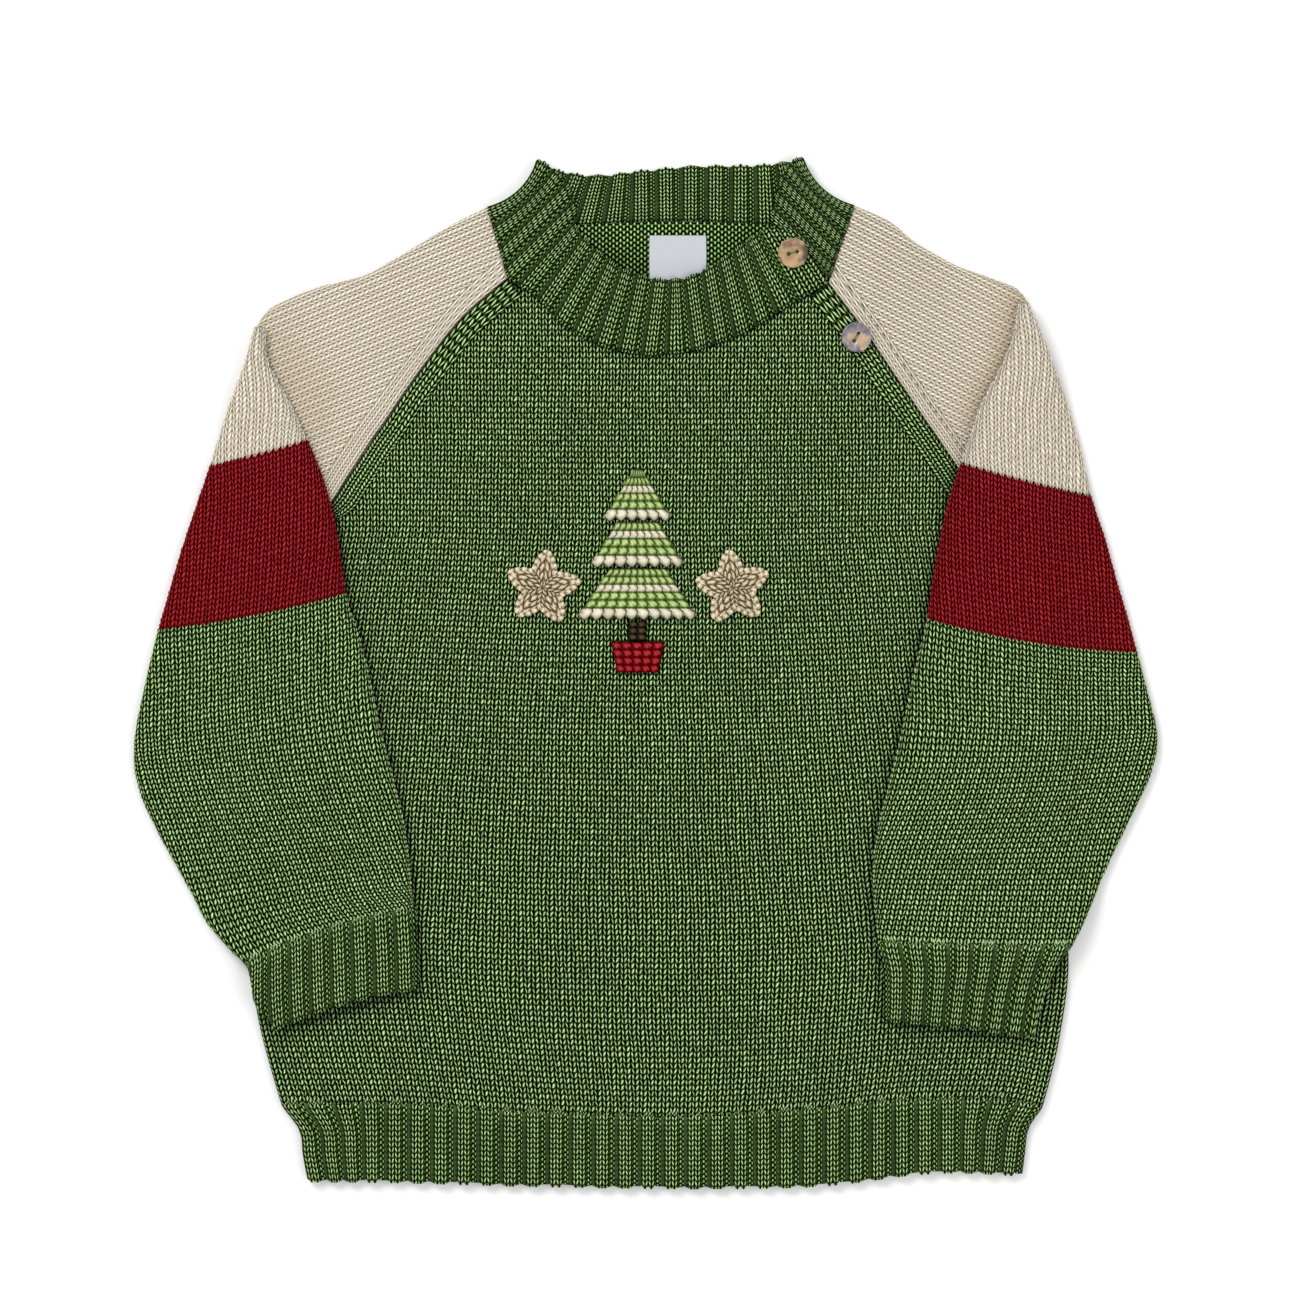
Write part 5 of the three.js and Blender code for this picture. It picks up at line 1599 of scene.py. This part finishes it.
def star_edge(x, y, turn):
    """The closed path of a star's edge, just inside its outline and on the front's ridges."""
    outline = star_outline(turn)[:-1:2] * 0.98
    outline = np.vstack([outline, outline[:1]]) + np.array([APPLIQUE["x"] + x, APPLIQUE["y"] + y])
    high = MOTIF_BASE + EDGE_HIGH + lift(outline[:, 0], outline[:, 1])
    return np.column_stack([outline, high])


def braid(path, radius, pitch, closed, name, material):
    """A chain-stitch edge: a tube along a path whose radius swells once for each loop."""
    line = np.asarray(path, float)
    far = lengths(line)
    count = max(16, int(far[-1] / pitch * 6))
    at = np.linspace(0, far[-1], count + 1)
    centre = np.stack([np.interp(at, far, line[:, n]) for n in range(3)], axis=-1)
    heading = np.gradient(centre, axis=0)
    heading /= np.linalg.norm(heading, axis=1, keepdims=True)
    side = np.cross(heading, [0, 0, 1.0])
    side /= np.linalg.norm(side, axis=1, keepdims=True)
    up = np.cross(side, heading)
    swell = radius * (0.72 + 0.38 * np.abs(np.sin(np.pi * at / pitch)))
    turn = np.linspace(0, 2 * np.pi, 9)
    cosine, sine = np.cos(turn)[None, :, None], np.sin(turn)[None, :, None]
    ring = cosine * side[:, None, :] + sine * up[:, None, :]
    points = centre[:, None, :] + ring * swell[:, None, None]
    if closed:
        points[-1] = points[0]
    rows, columns = points.shape[:2]
    u = np.linspace(0, 1, columns)[None, :] + np.zeros((rows, 1))
    v = (at / pitch)[:, None] + np.zeros_like(u)
    faces = [grid_quads(rows, columns)]
    flat = points.reshape(-1, 3)
    if not closed:
        ends = np.stack([centre[0], centre[-1]])
        index = np.arange(rows * columns).reshape(rows, columns)
        cap = len(flat)
        faces.append(np.stack([index[0, :-1], index[0, 1:], np.full(columns - 1, cap)], axis=-1))
        faces.append(np.stack([index[-1, :-1], index[-1, 1:], np.full(columns - 1, cap + 1)], axis=-1))
        flat = np.concatenate([flat, ends])
        u = np.append(u.ravel(), [0, 0])
        v = np.append(v.ravel(), [0, v.max()])
    data = {
        "points": flat,
        "faces": faces,
        "uv": np.stack([np.ravel(u), np.ravel(v)], axis=-1),
        "marks": {key: np.zeros(len(flat)) for key in ("shade", "purl", "tint")},
    }
    return make_object(name, data, material)


def plain_material(name, colours, roughness, scale, bump, coat):
    """A mottled material: two noises pick between three colours, and a third roughens it."""
    material = bpy.data.materials.new(name)
    material.use_nodes = True
    w = Wiring(material.node_tree)
    shader = material.node_tree.nodes["Principled BSDF"]
    place = w.node("ShaderNodeTexCoord").outputs["Object"]
    first, second, third = (linear(c) for c in colours)
    cloud = w.scale(w.noise(place, scale, 4.0), 0.35, 0.65)
    patch = w.scale(w.noise(place, scale * 0.45, 3.0), 0.53, 0.63)
    colour = w.blend(patch, w.blend(cloud, first, second), third)
    w.put(shader.inputs["Base Color"], colour)
    w.put(shader.inputs["Roughness"], w.scale(cloud, 0.0, 1.0, roughness - 0.08, roughness + 0.12))
    shader.inputs["Coat Weight"].default_value = coat
    shader.inputs["Coat Roughness"].default_value = 0.2
    node = w.node("ShaderNodeBump")
    node.inputs["Strength"].default_value = 0.4
    node.inputs["Distance"].default_value = bump * MM
    w.put(node.inputs["Height"], w.noise(place, scale * 3.0, 4.0))
    w.put(shader.inputs["Normal"], node.outputs["Normal"])
    return material


# A button: half its outline's thickness and its bevel, the radii of its outline and its holes, the
# holes' places, how high its rim stands from which radius on, and its middle's height over what
# it lies on.
BUTTON_HALF = 0.6
BUTTON_BEVEL = 0.42
BUTTON_RADIUS = 5.38
HOLE_RADIUS = 1.15
HOLE_OFFSET = 1.6
RIM_HIGH = 0.35
RIM_START = 3.2
RIM_RUN = 1.6
BUTTON_MIDDLE = BUTTON_HALF + BUTTON_BEVEL


def button_shape(name, x, y, z, turn, material):
    """A round button: an outline and two holes as curves, given thickness and a rounded rim that
    rises outwards along a smoothstep."""
    data = bpy.data.curves.new(name, "CURVE")
    data.dimensions = "2D"
    data.fill_mode = "BOTH"
    data.extrude = BUTTON_HALF * MM
    data.bevel_depth = BUTTON_BEVEL * MM
    data.bevel_resolution = 3
    holes = [(-HOLE_OFFSET, HOLE_RADIUS, 24), (HOLE_OFFSET, HOLE_RADIUS, 24)]
    for middle, radius, count in [(0, BUTTON_RADIUS, 64), *holes]:
        angle = np.linspace(0, 2 * np.pi, count, endpoint=False)
        spline = data.splines.new("POLY")
        spline.points.add(count - 1)
        circle = np.zeros((count, 4))
        circle[:, 0] = (middle + radius * np.cos(angle)) * MM
        circle[:, 1] = radius * np.sin(angle) * MM
        circle[:, 3] = 1.0
        spline.points.foreach_set("co", circle.ravel())
        spline.use_cyclic_u = True
    holder = add_object(name, data)
    mesh = bpy.data.meshes.new_from_object(holder.evaluated_get(bpy.context.evaluated_depsgraph_get()))
    bpy.data.objects.remove(holder)
    bpy.data.curves.remove(data)
    points = np.zeros(len(mesh.vertices) * 3)
    mesh.vertices.foreach_get("co", points)
    points = points.reshape(-1, 3)
    far = np.linalg.norm(points[:, :2], axis=1) / MM
    rim = RIM_HIGH * MM * smooth((far - RIM_START) / RIM_RUN)
    points[:, 2] += np.where(points[:, 2] > 0, rim, 0)
    angle = math.radians(turn)
    spin = np.array([[math.cos(angle), math.sin(angle)], [-math.sin(angle), math.cos(angle)]])
    points[:, :2] = points[:, :2] @ spin
    points += (np.array([x, y, z + BUTTON_MIDDLE]) - CENTRE) * MM
    mesh.vertices.foreach_set("co", points.ravel())
    mesh.materials.clear()
    mesh.materials.append(material)
    close_mesh(mesh, BUTTON_WELD)
    return add_object(name, mesh)


# A button's thread: how far its two stitches lie from the middle, half their length, the height
# where they start and their rise, then the radius and the twist of the thread.
THREAD_ASIDE = 0.32
THREAD_HALF = 1.75
THREAD_LOW = 0.4
THREAD_RISE = 1.5
THREAD_RADIUS = 0.3
THREAD_PITCH = 0.8


def thread_path(x, y, z, turn, side):
    """A stitch of thread that comes up through one hole of a button and goes down the other: its
    height falls off with the fourth power of the distance to its middle."""
    angle = math.radians(turn)
    heading = np.array([math.cos(angle), math.sin(angle)])
    across = np.array([-heading[1], heading[0]]) * THREAD_ASIDE * side
    t = np.linspace(-1, 1, 13)
    flat = np.array([x, y]) + t[:, None] * THREAD_HALF * heading + across
    high = z + THREAD_LOW + THREAD_RISE * (1 - np.abs(t) ** 4)
    return np.concatenate([flat, high[:, None]], axis=1)


# The label's lower right corner, its size, the height of its face and its thickness.
LABEL_CORNER = (1.6, 153.2)
LABEL_SIZE = (22, 17)
LABEL_HIGH = 3.05
LABEL_THICK = 0.35


def label_shell():
    """The blank neck label: a small ribbon that arches between its seam and its free edge, which
    curls along a sine."""
    u, v = even_grid(1, 1, 64, 48)
    x = LABEL_CORNER[0] + LABEL_SIZE[0] * u + 0.25 * np.sin(np.pi * v) * (u - 0.5)
    y = LABEL_CORNER[1] + LABEL_SIZE[1] * v - 0.5 * np.sin(np.pi * u) * (1 - v)
    z = LABEL_HIGH + 0.55 * np.sin(np.pi * v) ** 2 + 0.25 * np.sin(2 * np.pi * u + 0.6) * (1 - v)
    upper = np.stack([x, y, z], axis=-1)
    under = upper[COARSE] - np.array([0, 0, LABEL_THICK])
    return shell(upper, under, np.stack([u, v], axis=-1))


WARP_THREADS = 62
WEFT_THREADS = 48


def label_material():
    """White woven ribbon: its weave is the product of two sines, and a slow noise dulls it."""
    material = bpy.data.materials.new("white woven ribbon")
    material.use_nodes = True
    w = Wiring(material.node_tree)
    shader = material.node_tree.nodes["Principled BSDF"]
    split = w.node("ShaderNodeSeparateXYZ")
    w.put(split.inputs[0], w.node("ShaderNodeUVMap", uv_map="stitches").outputs[0])
    warp = w.math("SINE", w.math("MULTIPLY", split.outputs[0], 2 * math.pi * WARP_THREADS))
    weft = w.math("SINE", w.math("MULTIPLY", split.outputs[1], 2 * math.pi * WEFT_THREADS))
    weave = w.math("MULTIPLY_ADD", w.math("MULTIPLY", warp, weft), 0.5, 0.5)
    # Painted shade: the weave's hollows take the darker grey.
    hollow = w.scale(weave, 0.0, 1.0, 0.0, 0.5)
    colour = w.blend(hollow, linear((192, 195, 201)), linear((144, 147, 154)))
    cloud = w.scale(w.noise(w.node("ShaderNodeTexCoord").outputs["Object"], 140.0), 0.3, 0.7)
    colour = w.blend(w.math("MULTIPLY", cloud, 0.3), colour, linear((184, 188, 198)))
    w.put(shader.inputs["Base Color"], colour)
    shader.inputs["Roughness"].default_value = 0.6
    bump = w.node("ShaderNodeBump")
    bump.inputs["Strength"].default_value = 0.35
    bump.inputs["Distance"].default_value = 0.15 * MM
    w.put(bump.inputs["Height"], weave)
    w.put(shader.inputs["Normal"], bump.outputs["Normal"])
    return material


# Settings and operators


class SweaterKnitSettings(bpy.types.PropertyGroup):
    relief: bpy.props.FloatProperty(
        name="Stitch relief", description="Depth of the hollows between stitches, in millimetres",
        default=0.85, min=0.0, max=1.5,
    )
    rib_relief: bpy.props.FloatProperty(
        name="Rib stitch relief", description="Depth of the hollows on the ribs, in millimetres",
        default=0.7, min=0.0, max=1.5,
    )


class SweaterStageSettings(bpy.types.PropertyGroup):
    camera_height: bpy.props.FloatProperty(
        name="Camera height", description="Distance of the camera above the floor",
        default=1.9, unit="LENGTH", subtype="DISTANCE",
    )
    frame_width: bpy.props.FloatProperty(
        name="Frame width", description="Width of floor that the picture takes in",
        default=0.507, unit="LENGTH", subtype="DISTANCE",
    )
    key_power: bpy.props.FloatProperty(
        name="Key light", description="Power of the large soft light", default=17.0, unit="POWER",
    )
    fill: bpy.props.FloatProperty(
        name="Fill light", description="Strength of the even light from all round", default=0.75,
    )
    floor_colour: bpy.props.FloatVectorProperty(
        name="Floor", description="Colour of the plain floor", default=(0.9, 0.9, 0.9), subtype="COLOR",
    )


class SWEATER_OT_materials(bpy.types.Operator):
    """Makes the yarn materials."""

    bl_idname = "sweater.materials"
    bl_label = "Materials"

    def execute(self, context):
        make_materials()
        return {"FINISHED"}


class SWEATER_OT_front(bpy.types.Operator):
    """Knits the front panel in two halves, with a band along each raglan seam."""

    bl_idname = "sweater.front"
    bl_label = "Front"

    def execute(self, context):
        relief = context.scene.sweater_knit.relief
        half = FRONT_WALES // 2
        for name, first in (("front_right_half", 0), ("front_left_half", half)):
            piece = make_object(name, front_half(first, half, relief), MATERIALS["green"])
            dress(piece, "front", slot="green_knit")
            declare_cloth(piece)
        for side in ("right", "left"):
            piece = make_object(f"front_{side}_raglan_band", raglan_band(side, relief), MATERIALS["green"])
            dress(piece, slot="green_knit")
            seam = lengths(rail_inside(side)[0])[-1]
            declare_cloth(piece, (SMALLEST_CUT, seam * MM))
        return {"FINISHED"}


class SWEATER_OT_back(bpy.types.Operator):
    """Knits the back panel and the purl side that shows inside the neck."""

    bl_idname = "sweater.back"
    bl_label = "Back"

    def execute(self, context):
        piece = make_object("back_panel", back_panel(), MATERIALS["green"])
        dress(piece, "back", slot="green_knit")
        declare_cloth(piece)
        inside = make_object("back_inside_neck", inside_neck(), MATERIALS["green"])
        dress(inside, slot="green_knit")
        declare_cloth(inside)
        return {"FINISHED"}


class SWEATER_OT_hem(bpy.types.Operator):
    """Knits the hem rib, front and back."""

    bl_idname = "sweater.hem"
    bl_label = "Hem"

    def execute(self, context):
        relief = context.scene.sweater_knit.rib_relief
        for node, facing in (("hem_front", 1), ("hem_back", -1)):
            piece = make_object(f"{node}_rib", hem(facing, relief), MATERIALS["green"])
            dress(piece, node, slot="green_knit")
            declare_cloth(piece)
        return {"FINISHED"}


class SWEATER_OT_sleeves(bpy.types.Operator):
    """Knits each sleeve: its cap, the turned-over cream part, the stripe, the lower part and the cuff."""

    bl_idname = "sweater.sleeves"
    bl_label = "Sleeves"

    def execute(self, context):
        knit = context.scene.sweater_knit
        for side in ("right", "left"):
            joins = SLEEVE_JOINS[side]
            piece = make_object(f"{side}_cap_knit", cap_piece(side, 0.6 * knit.relief), MATERIALS["cream"])
            dress(piece, f"{side}_cap", slot="cream_knit")
            declare_cloth(piece)
            for name, start, stop, yarn in (
                ("upper_sleeve", 0, joins["stripe"], "cream"),
                ("stripe", joins["stripe"], joins["lower"], "red"),
                ("lower_sleeve", joins["lower"], joins["cuff"], "green"),
            ):
                data = sleeve_stretch(side, start, stop, knit.relief)
                piece = make_object(f"{side}_{name}_knit", data, MATERIALS[yarn], weld=False)
                dress(piece, f"{side}_{name}", slot=f"{yarn}_knit")
                declare_cloth(piece, sleeve_cut(side, start, stop))
            piece = make_object(f"{side}_cuff_rib", cuff(side, knit.rib_relief), MATERIALS["green"])
            dress(piece, f"{side}_cuff", slot="green_knit")
            declare_cloth(piece, sleeve_cut(side, joins["cuff"], joins["end"]))
        return {"FINISHED"}


class SWEATER_OT_collar(bpy.types.Operator):
    """Knits the three stretches of collar rib."""

    bl_idname = "sweater.collar"
    bl_label = "Collar"

    def execute(self, context):
        relief = context.scene.sweater_knit.rib_relief
        for node, (stations, ribs, level, bows, plain, stop) in COLLARS.items():
            data = collar_piece(stations, ribs, level, relief, bows, plain, stop)
            piece = make_object(f"{node}_rib", data, MATERIALS["green"])
            dress(piece, node, slot="green_knit")
            declare_cloth(piece)
        return {"FINISHED"}


class SWEATER_OT_applique(bpy.types.Operator):
    """Crochets the fir tree and its two stars, with chain-stitch edges."""

    bl_idname = "sweater.applique"
    bl_label = "Applique"

    def execute(self, context):
        for tier in TIERS:
            piece = make_object(f"{tier[0]}_crochet", tier_shell(tier), MATERIALS["leaf_crochet"])
            dress(piece, tier[0], slot="leaf_crochet")
            declare_cloth(piece)
        for node, shape, yarn in BLOCKS:
            piece = make_object(f"{node}_crochet", block_shell(*shape), MATERIALS[f"{yarn}_crochet"])
            dress(piece, node, slot=f"{yarn}_crochet")
            declare_cloth(piece)
        for node, x, y, turn in STARS:
            piece = make_object(f"{node}_crochet", star_shell(x, y, turn), MATERIALS["tan_crochet"])
            dress(piece, node, slot="tan_crochet")
            declare_cloth(piece)
            path = star_edge(x, y, turn)
            yarn = MATERIALS["tan_crochet"]
            edge = braid(path, EDGE_RADIUS, EDGE_PITCH, True, f"{node}_edge", yarn)
            dress(edge, slot="tan_crochet")
        return {"FINISHED"}


class SWEATER_OT_buttons(bpy.types.Operator):
    """Makes the two buttons and the thread that holds them."""

    bl_idname = "sweater.buttons"
    bl_label = "Buttons"

    def execute(self, context):
        coconut = plain_material(
            "coconut shell", ((182, 150, 112), (150, 116, 80), (66, 46, 36)), 0.4, 260.0, 0.12, 0.2
        )
        shell_look = plain_material(
            "grey shell", ((158, 146, 144), (84, 76, 96), (184, 154, 120)), 0.25, 300.0, 0.05, 0.6
        )
        high = COLLAR_LEVEL + FLAP_RISE + RIB_GROOVE + 0.75
        for node, x, y, z, turn, material, slot in (
            ("collar_button", 57.2, 162.8, high, 15, coconut, "coconut_button"),
            ("raglan_button", 82.0, 130.4, BODY_TOP + 0.4, 60, shell_look, "shell_button"),
        ):
            piece = button_shape(f"{node}_disc", x, y, z, turn, material)
            dress(piece, node, slot=slot)
            for number, side in enumerate((-1, 1)):
                path = thread_path(x, y, z, turn, side)
                name = f"{node}_thread_{number + 1}"
                thread = braid(path, THREAD_RADIUS, THREAD_PITCH, False, name, MATERIALS["green"])
                dress(thread, slot="green_knit")
        return {"FINISHED"}


class SWEATER_OT_label(bpy.types.Operator):
    """Makes the blank neck label."""

    bl_idname = "sweater.label"
    bl_label = "Label"

    def execute(self, context):
        piece = make_object("neck_label_ribbon", label_shell(), label_material())
        dress(piece, "neck_label", slot="label")
        declare_cloth(piece)
        return {"FINISHED"}


# The floor in metres, just under the garment. Lamps: place, width and share of the key's power.
FLOOR_REACH = 3.0
FLOOR_DROP = 0.0004
FLOOR_CORNERS = [(-1, -1), (1, -1), (1, 1), (-1, 1)]
LAMPS = [("key", (-0.75, 0.9, 1.35), 0.9, 1.0), ("fill_side", (0.9, -0.5, 1.2), 1.1, 0.35)]
SENSOR = 36.0
CAMERA_PLACE = (0.00176, 0.009)


class SWEATER_OT_stage(bpy.types.Operator):
    """Lays the plain floor, hangs the soft lights and sets the camera straight above."""

    bl_idname = "sweater.stage"
    bl_label = "Stage"

    def execute(self, context):
        stage = context.scene.sweater_stage
        mesh = bpy.data.meshes.new("floor")
        corners = [(x * FLOOR_REACH, y * FLOOR_REACH, -FLOOR_DROP) for x, y in FLOOR_CORNERS]
        mesh.from_pydata(corners, [], [(0, 1, 2, 3)])
        floor = add_object("floor", mesh)
        material = bpy.data.materials.new("plain floor")
        material.use_nodes = True
        shader = material.node_tree.nodes["Principled BSDF"]
        shader.inputs["Base Color"].default_value = (*stage.floor_colour, 1.0)
        shader.inputs["Roughness"].default_value = 0.9
        mesh.materials.append(material)
        for name, place, size, share in LAMPS:
            light = bpy.data.lights.new(name, "AREA")
            light.shape = "DISK"
            light.size = size
            light.energy = stage.key_power * share
            lamp = add_object(name, light)
            lamp.location = place
            heading = -np.array(place)
            lamp.rotation_euler = (
                math.atan2(math.hypot(heading[0], heading[1]), -heading[2]),
                0,
                math.atan2(heading[1], heading[0]) - math.pi / 2,
            )
        world = bpy.data.worlds.new("soft room")
        world.use_nodes = True
        background = world.node_tree.nodes["Background"]
        background.inputs["Color"].default_value = (1.0, 1.0, 1.0, 1.0)
        background.inputs["Strength"].default_value = stage.fill
        context.scene.world = world
        context.scene.view_settings.view_transform = "Standard"
        data = bpy.data.cameras.new("camera")
        data.sensor_width = SENSOR
        data.lens = SENSOR * stage.camera_height / stage.frame_width
        camera = add_object("camera", data)
        camera.location = (*CAMERA_PLACE, stage.camera_height)
        context.scene.camera = camera
        return {"FINISHED"}


STEPS = ("materials", "stage", "back", "front", "hem", "sleeves", "collar", "label", "applique", "buttons")


class SWEATER_PT_panel(bpy.types.Panel):
    """Lists the settings and the steps."""

    bl_idname = "SWEATER_PT_panel"
    bl_label = "Sweater"
    bl_space_type = "VIEW_3D"
    bl_region_type = "UI"
    bl_category = "Sweater"

    def draw(self, context):
        for name in ("sweater_knit", "sweater_stage"):
            settings = getattr(context.scene, name)
            for key in settings.__annotations__:
                self.layout.prop(settings, key)
        for step in STEPS:
            self.layout.operator(f"sweater.{step}")


CLASSES = (
    SweaterKnitSettings,
    SweaterStageSettings,
    SWEATER_OT_materials,
    SWEATER_OT_front,
    SWEATER_OT_back,
    SWEATER_OT_hem,
    SWEATER_OT_sleeves,
    SWEATER_OT_collar,
    SWEATER_OT_applique,
    SWEATER_OT_buttons,
    SWEATER_OT_label,
    SWEATER_OT_stage,
    SWEATER_PT_panel,
)


def register():
    for item in CLASSES:
        bpy.utils.register_class(item)
    bpy.types.Scene.sweater_knit = bpy.props.PointerProperty(type=SweaterKnitSettings)
    bpy.types.Scene.sweater_stage = bpy.props.PointerProperty(type=SweaterStageSettings)


def unregister():
    del bpy.types.Scene.sweater_stage
    del bpy.types.Scene.sweater_knit
    for item in reversed(CLASSES):
        bpy.utils.unregister_class(item)


def main():
    """Registers the add-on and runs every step."""
    register()
    for step in STEPS:
        getattr(bpy.ops.sweater, step)()


if __name__ == "__main__":
    main()
